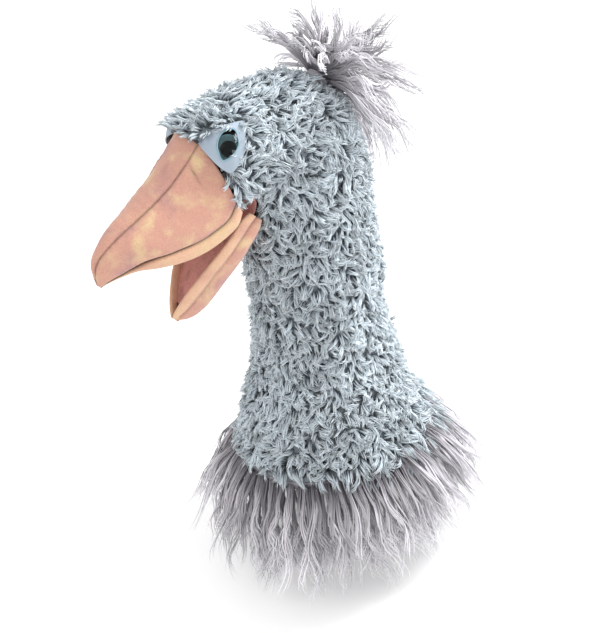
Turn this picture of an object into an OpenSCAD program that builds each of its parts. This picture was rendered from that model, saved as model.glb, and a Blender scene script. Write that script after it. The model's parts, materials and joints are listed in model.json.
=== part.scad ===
// Moving mouth bird puppet: a plush sleeve with a head, a crest and a two-part beak.
// +Z runs up the puppet, -Y is its front and +X its left. The arm goes in at the origin.

/* [Sleeve] */
// Outer radius of the plush sleeve at its hem
hem_r = 84; // [80:1:86]
// Outer radius of the plush sleeve where the neck is thinnest
neck_r = 56; // [56:0.5:57]
// Thickness of the plush, fabric and flattened pile together
plush_t = 6; // [5:0.5:6]
// Backward lean of the neck, in degrees
lean = 10; // [8:0.5:11]
// Radius of the arm opening
arm_r = 64; // [60:1:65]
// Depth of the turned cuff round the arm opening
cuff_h = 24; // [16:1:24]

/* [Fringe] */
// Number of shag locks round the hem
fringe_count = 40; // [30:1:42]
// Length of one fringe lock
fringe_len = 98; // [80:1:100]
// Angle at which the fringe flares out from straight down
fringe_flare = 27; // [20:1:32]

/* [Neck joints] */
// Distance up the neck at which the head turns
turn_level = 130; // [128:1:132]
// Distance up the neck of the centre of the nodding motion
nod_level = 205; // [203:1:206]
// Radius of the tucked sleeve ball that the head slides over
ball_r = 46; // [45:0.5:46]
// Room left between soft parts that move past each other
play = 0.8; // [0.6:0.1:1]

/* [Beak] */
// Angle at which the lower beak hangs below the horizontal at rest
jaw_drop = 36; // [34:1:38]
// Thickness of the beak's padded velour
beak_t = 2.6; // [2:0.1:2.8]
// Height of the crown along the top of the beak
crown_h = 4; // [2:0.5:5]
// Outward bulge of the stuffed beak sides
side_bulge = 2.5; // [1:0.5:4]

/* [Eyes] */
// Radius of the iris disc
iris_r = 11.5; // [10:0.5:12]
// Radius of the pupil
pupil_r = 6.5; // [5:0.5:8]
// Height of the clear lens
lens_h = 5; // [3:0.5:6]

/* [Crest] */
// Number of shag locks in the crest
crest_count = 22; // [14:1:26]
// Length of one crest lock
crest_len = 88; // [70:1:95]

/* [Hidden] */
$fn = 64;

far = 400;               // larger than anything that is cut
lining_t = 2;            // lining fabric in the sleeve
tape_h = 8;              // woven tape that carries the fringe
binding_h = 6;           // binding above the tape
hem_z = tape_h + binding_h;
cuff_t = 5;              // folded lining round the arm opening
pile_depth = 5;          // how far the plush solid lies inside the tips of the pile
jaw = [0, -32, 268];     // hinge line of the lower beak
eye_at = [37.5, -38, 335]; // where the left eye sits on the head
eye_tilt = 58;           // how far the eye faces away from straight up
eye_turn = -22;          // how far the eye faces forward of straight left
crest_at = [0, 84, 322]; // gathered root of the crest
crest_tilt = -45;        // the crest leans back

// The head's outline as rings: throat point and back point as [y, z], and half width.
HEAD = [[[-26, 150], [89, 130], 60],
        [[-29, 190], [92, 172], 61],
        [[-30, 222], [98, 210], 61],
        [[-32, 244], [104, 258], 60],
        [[-34, 254], [96, 306], 58],
        [[-37, 262], [66, 338], 55],
        [[-41, 271], [26, 350], 51],
        [[-45, 281], [-12, 355], 46],
        [[-50, 290], [-38, 355], 41],
        [[-60, 296], [-60, 352], 36]];

// The upper beak as stations: top seam, side seam and lower lip, each as [x, y, z].
UPPER = [[[17, -50, 342], [38, -46, 287], [37.5, -43, 277]],
         [[17, -66, 332], [37, -55, 278], [36.5, -50, 268]],
         [[16, -84, 322], [34, -70, 273], [33.5, -66, 262]],
         [[14.5, -102, 315], [30, -87, 271], [29.5, -84, 259]],
         [[12.5, -120, 309], [25.5, -104, 271.5], [25, -102, 260]],
         [[10, -137, 304], [19.5, -122, 273], [19, -121, 264]],
         [[7.5, -152, 298], [13, -136, 272], [12.5, -136, 268]],
         [[5, -163, 291], [8, -149, 270], [7.5, -149, 268]],
         [[2.5, -168, 281], [4, -162, 268], [3.5, -162, 267]]];
palate_end = 6;          // last station that the palate reaches

// The lower beak as stations from the hinge: y, half width of the lip, lip top, lip seam,
// keel height and half width of the keel.
LOWER = [[-8, 33.7, 5.5, -3, -17, 26],
         [-25, 31.5, 6, -2.5, -21, 23],
         [-42, 28, 6, -3, -23.5, 19],
         [-58, 23.4, 5.5, -4, -24.5, 14],
         [-74, 18, 4.5, -6, -25, 9],
         [-87, 11.5, 2.5, -8.5, -24.5, 5],
         [-97, 6, 0, -9.5, -20, 2.5],
         [-104, 2, -3, -8, -12, 1.5]];
floor_drop = 6;          // how far the mouth floor lies below the lip
floor_end = 5;           // last station that the mouth floor reaches

// Sleeve outline as [radius, distance up the neck]
SLEEVE = [[hem_r, 0], [hem_r - 7, 30], [hem_r - 18, 65], [neck_r + 3, 100], [neck_r, turn_level]];

plush_colour = "#a3adb3";
shag_colour = "#c9c5cb";
velour_colour = "#e4b59a";
lip_colour = "#eac79b";
rose_colour = "#b87870";
lining_colour = "#4b4d52";
patch_colour = "#9aa6b8";

// ---------- general shapes ----------

// The sleeve's own axis, leaning back from the arm opening
module along_neck() { rotate([-lean, 0, 0]) children(); }

// A closed solid through a list of rings with equal numbers of points
module loft(rings) {
    n = len(rings[0]);
    m = len(rings);
    pts = [for (r = rings) each r];
    walls = [for (i = [0 : m - 2], k = [0 : n - 1])
        let (a = i * n + k, b = i * n + (k + 1) % n, c = b + n, d = a + n)
        each [[a, b, c], [a, c, d]]];
    low = [for (k = [1 : n - 2]) [0, k + 1, k]];
    top = [for (k = [1 : n - 2]) [0, k, k + 1] + (m - 1) * n * [1, 1, 1]];
    polyhedron(points = pts, faces = concat(walls, low, top), convexity = 6);
}

// A sheet of even thickness between two equal grids of points
module sheet(outside, inside) {
    m = len(outside);
    n = len(outside[0]);
    s = m * n;
    pts = concat([for (r = outside) each r], [for (r = inside) each r]);
    skin = [for (i = [0 : m - 2], k = [0 : n - 2])
        let (a = i * n + k, b = a + 1, c = b + n, d = a + n)
        each [[a, b, c], [a, c, d], [s + c, s + b, s + a], [s + d, s + c, s + a]]];
    ends = [for (k = [0 : n - 2])
        let (a = k, b = k + 1, c = (m - 1) * n + k, d = c + 1)
        each [[b, a, s + a], [b, s + a, s + b], [c, d, s + d], [c, s + d, s + c]]];
    sides = [for (i = [0 : m - 2])
        let (a = i * n, b = a + n, c = a + n - 1, d = b + n - 1)
        each [[a, b, s + b], [a, s + b, s + a], [d, c, s + c], [d, s + c, s + d]]];
    polyhedron(points = pts, faces = concat(skin, ends, sides), convexity = 6);
}

// Left pieces are made on the +X side, right ones are their mirror images
module on_side(left) { mirror([left ? 0 : 1, 0, 0]) children(); }

// Keep what lies between two heights, distances or widths
module slab_x(x0, x1) { translate([x0, -far, -far]) cube([x1 - x0, 2 * far, 2 * far]); }
module above(z) { translate([-far, -far, z]) cube(2 * far); }

// Half of a turned profile, on the +X side
module half_turn() { rotate([0, 0, -90]) rotate_extrude(angle = 180) children(); }

// ---------- sleeve, hem and fringe ----------

function shrink(path, t) = [for (p = path) p - [t, 0]];

function reversed(list) = [for (i = [len(list) - 1 : -1 : 0]) list[i]];

function tube(path, t0, t1) = concat(shrink(path, t0), reversed(shrink(path, t1)));

module arm_cuff() {
    color(lining_colour) difference() {
        cylinder(r = arm_r + cuff_t, h = cuff_h);
        translate([0, 0, -1]) cylinder(r = arm_r, h = cuff_h + 2);
    }
}

module hem_ring(z, h) {
    translate([0, 0, z]) difference() {
        cylinder(r = hem_r - 1, h = h);
        translate([0, 0, -1]) cylinder(r = arm_r + cuff_t + 0.2, h = h + 2);
    }
}

module fringe_tape() { color(shag_colour) hem_ring(0, tape_h); }

module hem_binding() { color(plush_colour) hem_ring(tape_h, binding_h); }

lock_r = 5.4;    // radius of a fringe lock at its root

// One lock of shag, thick at its root at the origin and hanging down
module lock(length, root_r) {
    mirror([0, 0, 1]) cylinder(r1 = root_r, r2 = root_r / 4, h = length, $fn = 16);
}

module fringe_locks() {
    color(shag_colour) for (i = [0 : fringe_count - 1])
        rotate([0, 0, 360 * i / fringe_count])
            translate([hem_r - 0.7 + lock_r, 0, tape_h / 2])
                rotate([0, -fringe_flare + 8 * (i % 3 - 1), 0])
                    lock(fringe_len - 6 * (i % 3), lock_r);
}

module neck_plush(left) {
    color(plush_colour) on_side(left) intersection() {
        along_neck() half_turn() polygon(tube(SLEEVE, 0, plush_t));
        above(hem_z);
    }
}

module neck_plush_left() { neck_plush(true); }

module neck_plush_right() { neck_plush(false); }

module sleeve_lining_lower() {
    color(lining_colour) intersection() {
        along_neck() rotate_extrude()
            polygon(tube(SLEEVE, plush_t + 0.2, plush_t + 0.2 + lining_t));
        above(hem_z + 0.2);
    }
}

// ---------- turning collar, tucked into the head as a ball ----------

ball_low = nod_level - 24;   // where the collar becomes the ball
ball_top = nod_level + 7;    // where the ball ends
tuck_low = nod_level - 37;   // where the collar starts to draw in
collar_low = turn_level + play;
ball_wall = 3.5;             // thickness of the ball's plush

function ball_arc(r) = [for (i = [0 : 6])
    let (h = ball_low + (ball_top - ball_low) * i / 6) [sqrt(r * r - pow(h - nod_level, 2)), h]];

module collar_plush(left) {
    outside = concat([[neck_r, collar_low], [neck_r, tuck_low]], ball_arc(ball_r));
    inside = concat([[neck_r - plush_t, collar_low], [neck_r - plush_t, tuck_low - 2]],
                    ball_arc(ball_r - ball_wall));
    color(plush_colour) on_side(left) along_neck() half_turn()
        polygon(concat(outside, reversed(inside)));
}

module collar_plush_left() { collar_plush(true); }

module collar_plush_right() { collar_plush(false); }

module sleeve_lining_upper() {
    r = neck_r - plush_t - 0.2;
    neck_in = ball_arc(ball_r - ball_wall)[0][0] + 0.5;
    path = [[r, collar_low], [r, tuck_low - 4], [neck_in, ball_low - 1]];
    color(lining_colour) along_neck() rotate_extrude() polygon(tube(path, 0, lining_t));
}

// ---------- head ----------

// One ring of the head, a given depth below the tips of the pile
function head_ring(s, depth, n = 32) =
    let (f = s[0], b = s[1], mid = (f + b) / 2, half = (b - f) / 2,
         u = half / norm(half), reach = norm(half) - depth, w = s[2] - depth)
    [for (k = [0 : n - 1]) let (a = 360 * k / n, q = mid - u * reach * cos(a))
        [-w * sin(a), q[0], q[1]]];

module head_body(depth) { loft([for (s = HEAD) head_ring(s, depth)]); }

// A shell of the head between two depths, open at the neck and at the face
module head_shell(outer_depth, inner_depth) {
    difference() {
        head_body(outer_depth);
        head_body(inner_depth);
        along_neck() translate([-far, -far, -far]) cube([2 * far, 2 * far, far + skirt_low]);
        translate([-far, -far - face_y, 0]) cube([2 * far, far, far]);
        translate([-face_w, -60, throat_z]) cube([2 * face_w, 54, 332 - throat_z]);
    }
}

skirt_low = nod_level - 8;  // lower edge of the head, below the middle of the ball
face_y = 42;     // how far forward the head's plush reaches
face_w = 33;     // half width of the opening that the beak fills
gusset_w = 18;   // half width of the strip over the crown
throat_z = 236;  // bottom of that opening
nape_z = 240;    // height at which the crown strip meets the nape

module eye_hole(left) {
    on_side(left) eye_frame() cylinder(r = 21.3, h = 60, center = true, $fn = 12);
}

// A straight-sided hole round the crest's root
module crest_hole(r) {
    translate(crest_at) rotate([crest_tilt, 0, 0]) cylinder(r = r, h = 60, center = true, $fn = 12);
}

module head_side(left) {
    color(plush_colour) difference() {
        intersection() {
            head_shell(pile_depth, pile_depth + plush_t);
            if (left) slab_x(0, far);
            else slab_x(-far, 0);
        }
        slab_x(-gusset_w, gusset_w);
        eye_hole(left);
    }
}

module head_plush_left() { head_side(true); }

module head_plush_right() { head_side(false); }

// The part of the plush shell between the two sides, inside a box from y0, z0 to y1, z1
module middle_strip(y0, y1, z0, z1) {
    color(plush_colour) intersection() {
        head_shell(pile_depth, pile_depth + plush_t);
        translate([-gusset_w, y0, z0]) cube([2 * gusset_w, y1 - y0, z1 - z0]);
    }
}

module crown_gusset() {
    difference() {
        middle_strip(-60, 130, nape_z, 400);
        crest_hole(14.8);
    }
}

module nape_gusset() { middle_strip(20, 130, 100, nape_z); }

module throat_plush() { middle_strip(-60, 20, 100, nape_z); }

fold_r = 3;      // radius of the fold where the mouth linings meet

inner_depth = pile_depth + plush_t + 0.3;
lining_low = 222;  // the head's lining starts above the tucked ball

module head_lining() {
    color(lining_colour) intersection() {
        head_shell(inner_depth, inner_depth + lining_t);
        translate([-far, -5, lining_low]) cube([2 * far, far, 296 - lining_low]);
    }
}

module head_padding() {
    color("#e8e6df") difference() {
        intersection() {
            head_shell(inner_depth, inner_depth + 8);
            translate([-30, -20, 297]) cube([60, far, far]);
        }
        crest_hole(15.2);
    }
}

// The fold of the mouth lining that the lower beak swings on
module mouth_fold() {
    color(rose_colour) translate(jaw) rotate([0, 90, 0])
        cylinder(r = fold_r, h = 2 * face_w - 2, center = true);
}

module crest_base() {
    color(shag_colour) translate(crest_at) rotate([crest_tilt, 0, 0])
        translate([0, 0, -6]) cylinder(r = 14, h = 12);
}

// Locks fan out of the gathered root in rings, the outer ones lying lowest
module crest_locks() {
    golden = 137.5;
    color(shag_colour) translate(crest_at) rotate([crest_tilt, 0, 0])
        for (i = [0 : crest_count - 1])
            let (spread = sqrt((i + 0.5) / crest_count))
                rotate([0, 0, i * golden]) translate([10.5 * spread, 0, 6.3 + 1.6 * sin(68 * spread)])
                    rotate([0, 68 * spread, 0])
                        cylinder(r1 = 1.6, r2 = 3, h = crest_len - 3 * (i % 4), $fn = 16);
}

// ---------- eyes ----------

// The left eye's own frame: +Z looks out of the head
module eye_frame() { translate(eye_at) rotate([0, eye_tilt, eye_turn]) children(); }

stem_r = 2.5;
seat_z = -3.6;   // where the eye rests on its backing

module eye_patch(left) {
    color(patch_colour) on_side(left) eye_frame() difference() {
        translate([0, 0, -0.8]) cylinder(r = 20, h = 1.6);
        translate([0, 0, -2]) cylinder(r = iris_r + 0.2, h = 4);
    }
}

module eye_backing(left) {
    color("#1c1d20") on_side(left) eye_frame() difference() {
        translate([0, 0, seat_z - 1.4]) cylinder(r = 18, h = 1.4);
        translate([0, 0, seat_z - 3]) cylinder(r = stem_r + 0.1, h = 5);
    }
}

module eye_iris(left) {
    color("#6e969b") on_side(left) eye_frame() {
        translate([0, 0, seat_z]) cylinder(r = iris_r, h = 1.4);
        translate([0, 0, seat_z - 9]) cylinder(r = stem_r, h = 9.1);
    }
}

module eye_pupil(left) {
    color("#0c0d0f") on_side(left) eye_frame()
        translate([0, 0, seat_z + 1.4]) cylinder(r = pupil_r, h = 0.7);
}

module eye_lens(left) {
    rim = iris_r - 0.3;
    ball = (rim * rim + lens_h * lens_h) / (2 * lens_h);
    color("#dfe8ec", 0.5) on_side(left) eye_frame() translate([0, 0, seat_z + 1.4]) difference() {
        translate([0, 0, lens_h - ball]) sphere(r = ball);
        translate([-far, -far, -2 * far]) cube(2 * far);
        translate([0, 0, -1]) cylinder(r = pupil_r + 0.1, h = 1.8);
    }
}

module eye_washer(left) {
    color("#e9e9e6") on_side(left) eye_frame() difference() {
        translate([0, 0, seat_z - 3.2]) cylinder(r = 9, h = 1.6);
        translate([0, 0, seat_z - 5]) cylinder(r = stem_r + 0.05, h = 6);
    }
}

module eye_patch_left() { eye_patch(true); }

module eye_backing_left() { eye_backing(true); }

module eye_iris_left() { eye_iris(true); }

module eye_pupil_left() { eye_pupil(true); }

module eye_lens_left() { eye_lens(true); }

module eye_washer_left() { eye_washer(true); }

module eye_patch_right() { eye_patch(false); }

module eye_backing_right() { eye_backing(false); }

module eye_iris_right() { eye_iris(false); }

module eye_pupil_right() { eye_pupil(false); }

module eye_lens_right() { eye_lens(false); }

module eye_washer_right() { eye_washer(false); }

// ---------- upper beak ----------

function flip(p) = [-p[0], p[1], p[2]];

// Middle of a station, which the padded walls face
function core(s) = [0, (s[0][1] + s[1][1]) / 2, (s[0][2] + s[1][2]) / 2];

// A point moved towards the middle of its station, never past it
function inset(p, c, t) = p + (c - p) * min(t / norm(c - p), 0.6);

// Across the top of a station, from the right seam to the left one
function top_line(s) =
    let (t = s[0], lift = crown_h * min(1, t[0] / 12))
    [for (k = [-2 : 2]) [t[0] * k / 2, t[1], t[2] + lift * (1 - k * k / 4)]];

// Down the left side of a station, from the top seam to the lip seam
function side_line(s) =
    [for (k = [0 : 4]) let (f = k / 4)
        s[0] * (1 - f) + s[1] * f + [side_bulge * 4 * f * (1 - f) * min(1, s[1][0] / 20), 0, 0]];

module beak_skin(lines) {
    sheet(lines, [for (i = [0 : len(lines) - 1]) [for (p = lines[i]) inset(p, core(UPPER[i]), beak_t)]]);
}

module culmen_panel() { color(velour_colour) beak_skin([for (s = UPPER) reversed(top_line(s))]); }

module upper_side(left) { color(velour_colour) on_side(left) beak_skin([for (s = UPPER) reversed(side_line(s))]); }

module upper_side_left() { upper_side(true); }

module upper_side_right() { upper_side(false); }

module upper_rim(left) {
    lips = [for (s = UPPER) [s[2], s[1]]];
    color(lip_colour) on_side(left)
        sheet(lips, [for (l = lips) [for (p = l) p - [min(beak_t, p[0] * 0.7), 0, 0]]]);
}

module upper_rim_left() { upper_rim(true); }

module upper_rim_right() { upper_rim(false); }

// A thin level sheet inside the lips, given its height over the lip seam
module palate_sheet(gap, lift, t) {
    line = [for (i = [0 : palate_end]) let (s = UPPER[i][1], w = s[0] - gap)
        [for (k = [-1 : 1]) [w * k, s[1], s[2] + lift]]];
    sheet([for (l = line) [for (p = l) p + [0, 0, t]]], line);
}

module palate_lining() { color(rose_colour) palate_sheet(beak_t + 0.3, 2, 1.5); }

module upper_mouth_board() { color("#d9d2c0") palate_sheet(beak_t + 4, 3.7, 2); }

// A flat tapering pouch for fingers, open at y = 0 and running along -Y
module pouch(length, w0, w1, r0, r1, grow) {
    hull() {
        for (x = [-w0, w0]) translate([x, 0, 0]) rotate([90, 0, 0])
            cylinder(r = r0 + grow, h = 1, $fn = 24);
        for (x = [-w1, w1]) translate([x, -length + r1, 0]) sphere(r = r1 + grow, $fn = 16);
    }
}

module finger_frame() { translate([0, -40, 306]) rotate([14, 0, 0]) children(); }

module finger_space(grow) { finger_frame() pouch(78, 13, 6, 10, 8, grow); }

module upper_stuffing() {
    rings = [for (i = [0 : 7]) let (s = UPPER[i], c = core(s), d = beak_t + 0.5,
            half = concat([for (k = [2 : 4]) inset(top_line(s)[k], c, d)],
                          [for (k = [1 : 3]) inset(side_line(s)[k], c, d)],
                          [[max(1, s[1][0] - beak_t - 2), s[1][1], s[1][2] + 6.5]]))
        concat(half, [for (k = [6 : -1 : 1]) flip(half[k])])];
    color("#efece4") difference() {
        loft([for (r = rings) reversed(r)]);
        finger_space(1.8);
    }
}

module finger_pocket() {
    color(lining_colour) difference() {
        finger_space(1.5);
        finger_space(0);
        finger_frame() translate([-25, -2, -25]) cube([50, 10, 50]);
    }
}

// ---------- lower beak, drawn level and dropped about the hinge ----------

module jaw_frame() { translate(jaw) rotate([jaw_drop, 0, 0]) children(); }

// Down the left side of a station, from the lip seam to the keel
function keel_line(s) =
    let (seam = [s[1], s[0], s[3]], keel = [s[5], s[0], s[4]], mid = (seam + keel) / 2)
    [seam, mid + [side_bulge * s[1] / 34, 0, -1], keel, [0, s[0], s[4] - 1]];

function lower_core(s) = [0, s[0], (s[2] + s[4]) / 2];

module lower_side(left) {
    lines = [for (s = LOWER) keel_line(s)];
    color(velour_colour) on_side(left) jaw_frame()
        sheet([for (l = lines) reversed(l)],
              [for (i = [0 : len(LOWER) - 1])
                  [for (p = reversed(lines[i])) inset(p, lower_core(LOWER[i]), beak_t)]]);
}

module lower_side_left() { lower_side(true); }

module lower_side_right() { lower_side(false); }

module lower_rim(left) {
    lips = [for (s = LOWER) [[s[1], s[0], s[3]], [s[1], s[0], s[2]]]];
    color(lip_colour) on_side(left) jaw_frame()
        sheet(lips, [for (l = lips) [for (p = l) p - [min(beak_t, p[0] * 0.7), 0, 0]]]);
}

module lower_rim_left() { lower_rim(true); }

module lower_rim_right() { lower_rim(false); }

module floor_sheet(gap, drop, t) {
    line = [for (i = [0 : floor_end]) let (s = LOWER[i], w = s[1] - gap)
        [for (k = [-1 : 1]) [w * k, s[0], s[2] - floor_drop - drop]]];
    jaw_frame() sheet(line, [for (l = line) [for (p = l) p - [0, 0, t]]]);
}

module mouth_floor_lining() { color(rose_colour) floor_sheet(beak_t + 0.3, 0, 1.5); }

module lower_mouth_board() { color("#d9d2c0") floor_sheet(beak_t + 4, 1.7, 1.6); }

module thumb_space(grow) { jaw_frame() translate([0, 6, -10.5]) pouch(72, 8, 4, 4, 5, grow); }

module lower_stuffing() {
    rings = [for (i = [0 : 5]) let (s = LOWER[i], w = s[1] - beak_t - 2.5, top = s[2] - floor_drop - 3.6)
        [[w, s[0], top], [max(2, s[5] - 1), s[0], s[4] + 4.5],
         [-max(2, s[5] - 1), s[0], s[4] + 4.5], [-w, s[0], top]]];
    color("#efece4") difference() {
        jaw_frame() loft([for (r = rings) reversed(r)]);
        thumb_space(1.4);
    }
}

module thumb_pocket() {
    color(lining_colour) difference() {
        thumb_space(1.2);
        thumb_space(0);
        jaw_frame() translate([-20, -14, -32]) cube([40, 30, 40]);
    }
}

// ---------- what is drawn ----------

arm_cuff();
fringe_tape();
hem_binding();
fringe_locks();
neck_plush_left();
neck_plush_right();
sleeve_lining_lower();
collar_plush_left();
collar_plush_right();
sleeve_lining_upper();
head_plush_left();
head_plush_right();
crown_gusset();
nape_gusset();
throat_plush();
head_lining();
head_padding();
crest_base();
crest_locks();
eye_patch_left();
eye_backing_left();
eye_iris_left();
eye_pupil_left();
eye_lens_left();
eye_washer_left();
eye_patch_right();
eye_backing_right();
eye_iris_right();
eye_pupil_right();
eye_lens_right();
eye_washer_right();
mouth_fold();
culmen_panel();
upper_side_left();
upper_side_right();
upper_rim_left();
upper_rim_right();
upper_stuffing();
finger_pocket();
palate_lining();
upper_mouth_board();
lower_side_left();
lower_side_right();
lower_rim_left();
lower_rim_right();
lower_stuffing();
thumb_pocket();
mouth_floor_lining();
lower_mouth_board();
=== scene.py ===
"""Moving mouth bird puppet: plush, shag, velour and eyes, made round the puppet's frame.

Lengths in the code are millimetres until a mesh is made. +Z runs up the puppet, -Y is its front and
+X its left. Pieces ride on the body that carries them; those between two bodies on the neck stay where they
are made.
"""

import json
import math

import bpy
import numpy as np
from mathutils import Matrix, Vector
from mathutils.kdtree import KDTree


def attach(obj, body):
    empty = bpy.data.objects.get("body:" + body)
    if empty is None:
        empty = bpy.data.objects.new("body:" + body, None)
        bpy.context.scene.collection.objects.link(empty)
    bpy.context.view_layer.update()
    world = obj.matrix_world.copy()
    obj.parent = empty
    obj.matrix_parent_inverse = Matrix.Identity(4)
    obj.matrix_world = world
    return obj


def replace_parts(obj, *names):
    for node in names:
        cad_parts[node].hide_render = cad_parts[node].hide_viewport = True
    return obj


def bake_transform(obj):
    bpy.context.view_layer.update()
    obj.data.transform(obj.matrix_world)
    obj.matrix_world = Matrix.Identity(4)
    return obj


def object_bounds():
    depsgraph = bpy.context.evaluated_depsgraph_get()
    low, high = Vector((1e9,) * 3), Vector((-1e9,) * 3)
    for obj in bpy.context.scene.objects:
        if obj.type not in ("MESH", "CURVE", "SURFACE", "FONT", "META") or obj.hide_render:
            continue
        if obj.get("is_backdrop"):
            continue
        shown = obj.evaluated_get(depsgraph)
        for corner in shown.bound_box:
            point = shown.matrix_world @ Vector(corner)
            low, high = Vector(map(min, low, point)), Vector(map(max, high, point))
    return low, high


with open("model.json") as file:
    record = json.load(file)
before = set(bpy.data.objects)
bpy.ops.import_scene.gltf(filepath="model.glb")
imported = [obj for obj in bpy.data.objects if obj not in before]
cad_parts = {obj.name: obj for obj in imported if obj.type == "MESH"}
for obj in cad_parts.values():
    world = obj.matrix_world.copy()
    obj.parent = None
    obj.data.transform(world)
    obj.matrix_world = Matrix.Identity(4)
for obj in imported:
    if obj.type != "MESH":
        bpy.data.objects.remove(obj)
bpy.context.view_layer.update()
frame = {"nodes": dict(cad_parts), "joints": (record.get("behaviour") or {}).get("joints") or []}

bl_info = {
    "name": "Plush Bird Puppet",
    "version": (1, 0, 0),
    "blender": (4, 5, 0),
    "location": "3D View > Sidebar > Puppet",
    "description": "Builds the plush, shag, velour and eyes of a moving mouth bird puppet",
    "category": "Add Mesh",
}

MM = 0.001
JOINTS = {j["name"]: j for j in frame["joints"]}
NECK_UP = np.array(JOINTS["head_turn"]["axis"], float)
JAW = np.array(JOINTS["jaw"]["pos_m"], float) / MM
LEAN = math.atan2(NECK_UP[1], NECK_UP[2])
JAW_DROP = math.radians(36)

# Distances up the neck between which the sleeve turns and then nods
TURN_FROM, TURN_TO = 105, 160
NOD_FROM, NOD_TO = 165, 240

# ---------- the puppet's form ----------

PILE = 5  # the tips of the pile stand this far outside the solid sleeve
CLOTH_DEPTH = 9  # the plush backing lies this far inside the tips
CLOTH_T = 1.6
LINING_DEPTH = 11.3
LINING_T = 1.2
HEM_Z = 14

# Sleeve as [radius, distance up the neck]
SLEEVE = [[84, 0], [77, 30], [66, 65], [59, 100], [56, 130]]

# Head rings through the tips of the pile: throat point and back point as y, z, then half width
HEAD = [[-30, 190, 93, 172, 61.5],
        [-31, 222, 98, 210, 61.5],
        [-32, 244, 104, 258, 60.5],
        [-34, 254, 97, 307, 58.5],
        [-37, 262, 67, 340, 56],
        [-41, 266, 27, 353, 53],
        [-45, 262, -12, 358, 49.5],
        [-49, 258, -38, 359, 45.5],
        [-58, 256, -60, 356, 41]]
SQUARENESS = [2.0] * 10 + [2.1, 2.4, 2.7, 2.8]  # how boxy each ring of the sleeve and head is
FIRST_HEAD_RING = 2  # the ring at which the fabric of the head begins

# Upper beak stations: top seam, side seam and lower lip
UPPER = [[17, -50, 342, 38, -46, 287, 37.5, -43, 277],
         [17, -66, 332, 37, -55, 278, 36.5, -50, 268],
         [16, -84, 322, 34, -70, 273, 33.5, -66, 262],
         [14.5, -102, 315, 30, -87, 271, 29.5, -84, 259],
         [12.5, -120, 309, 25.5, -104, 271.5, 25, -102, 260],
         [10, -137, 304, 19.5, -122, 273, 19, -121, 264],
         [7.5, -152, 298, 13, -136, 272, 12.5, -136, 268],
         [5, -163, 291, 8, -149, 270, 7.5, -149, 268],
         [2.5, -168, 281, 4, -162, 268, 3.5, -162, 267]]

# Lower beak stations from the hinge: y, lip half width, lip top, lip seam, keel height, keel half width
LOWER = [[-1, 33.2, 1.8, -5.5, -14.5, 26],
         [-8, 33.8, 5.5, -3.5, -17.5, 26.5],
         [-25, 31.6, 6, -3.5, -21.5, 23],
         [-42, 27.6, 6, -4, -24, 18.5],
         [-58, 22, 5.5, -5, -25.5, 13.5],
         [-74, 16.2, 4.5, -6.5, -26, 9.5],
         [-87, 10.6, 2.5, -8, -25, 6.5],
         [-97, 6.2, 0, -8.5, -20.5, 4],
         [-104, 2.6, -3, -7.5, -12.5, 2]]

EYE_AT = np.array([37.5, -38, 335])
EYE_TILT, EYE_TURN = math.radians(58), math.radians(-22)
CREST_AT = np.array([0, 84, 322])
CREST_TILT = math.radians(72)
HANG = np.array([0.20, -0.12, -0.972])  # the way that long locks fall on a raised hand
GOLDEN_ANGLE = math.radians(137.5)  # spreads the crest's locks evenly over their disc

# Rows of the fringe on its tape: height, outward lean at the root and at the tip (radians), radius
FRINGE_ROWS = np.array([[1, 0.4, 0.10, 83.5], [4, 0.6, 0.22, 84], [7, 0.82, 0.34, 84.5]])

PILE_SEED, FRINGE_SEED, CREST_SEED = 827, 98, 88
MOST_LOCKS = 8600  # strands in one piece of pile
EYE_REACH = -16  # how deep below the eye's plane its patch still clears the fur
POUCH_STRAIGHT = 0.86  # share of a pouch's length before its round end
FLOOR_REACH = 9000


# ---------- sizes and colours that a user would change ----------

def length_value(name, text, millimetres):
    """A length that a user may change, given in millimetres."""
    return bpy.props.FloatProperty(name=name, description=text, default=millimetres * MM,
                                   min=0, subtype="DISTANCE", unit="LENGTH", precision=4)


def colour_value(name, text, colour):
    """A colour that a user may change."""
    return bpy.props.FloatVectorProperty(name=name, description=text, default=colour, size=3,
                                         min=0, max=1, subtype="COLOR")


def count_value(name, text, count):
    """A count that a user may change."""
    return bpy.props.IntProperty(name=name, description=text, default=count, min=1)


def share_value(name, text, share):
    """A share from 0 to 1 that a user may change."""
    return bpy.props.FloatProperty(name=name, description=text, default=share, min=0, max=1,
                                   subtype="FACTOR")


def srgb(red, green, blue):
    """Linear colour from the 0 to 255 values that a colour chart gives."""
    def linear(c):
        c = c / 255
        return c / 12.92 if c <= 0.04045 else ((c + 0.055) / 1.055) ** 2.4
    return (linear(red), linear(green), linear(blue))


class PlushSettings(bpy.types.PropertyGroup):
    """Curly plush of the neck and head."""
    pile_length: length_value("Pile length", "Length of the pile from backing to tip", 14)
    lock_gap: length_value("Lock spacing", "Room between the roots of two small locks", 3.45)
    tuft_gap: length_value("Tuft spacing", "Room between the tufts that lie the same way", 14.5)
    strands: count_value("Strands", "Strands in each small lock", 8)
    strand_width: length_value("Strand width", "Width of one strand at its thickest", 1.25)
    root: colour_value("Root colour", "Pile colour at the backing", srgb(138, 147, 154))
    middle: colour_value("Pile colour", "Pile colour along most of its length", srgb(204, 214, 220))
    tip: colour_value("Tip colour", "Pile colour at the tips", srgb(224, 232, 237))


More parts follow.
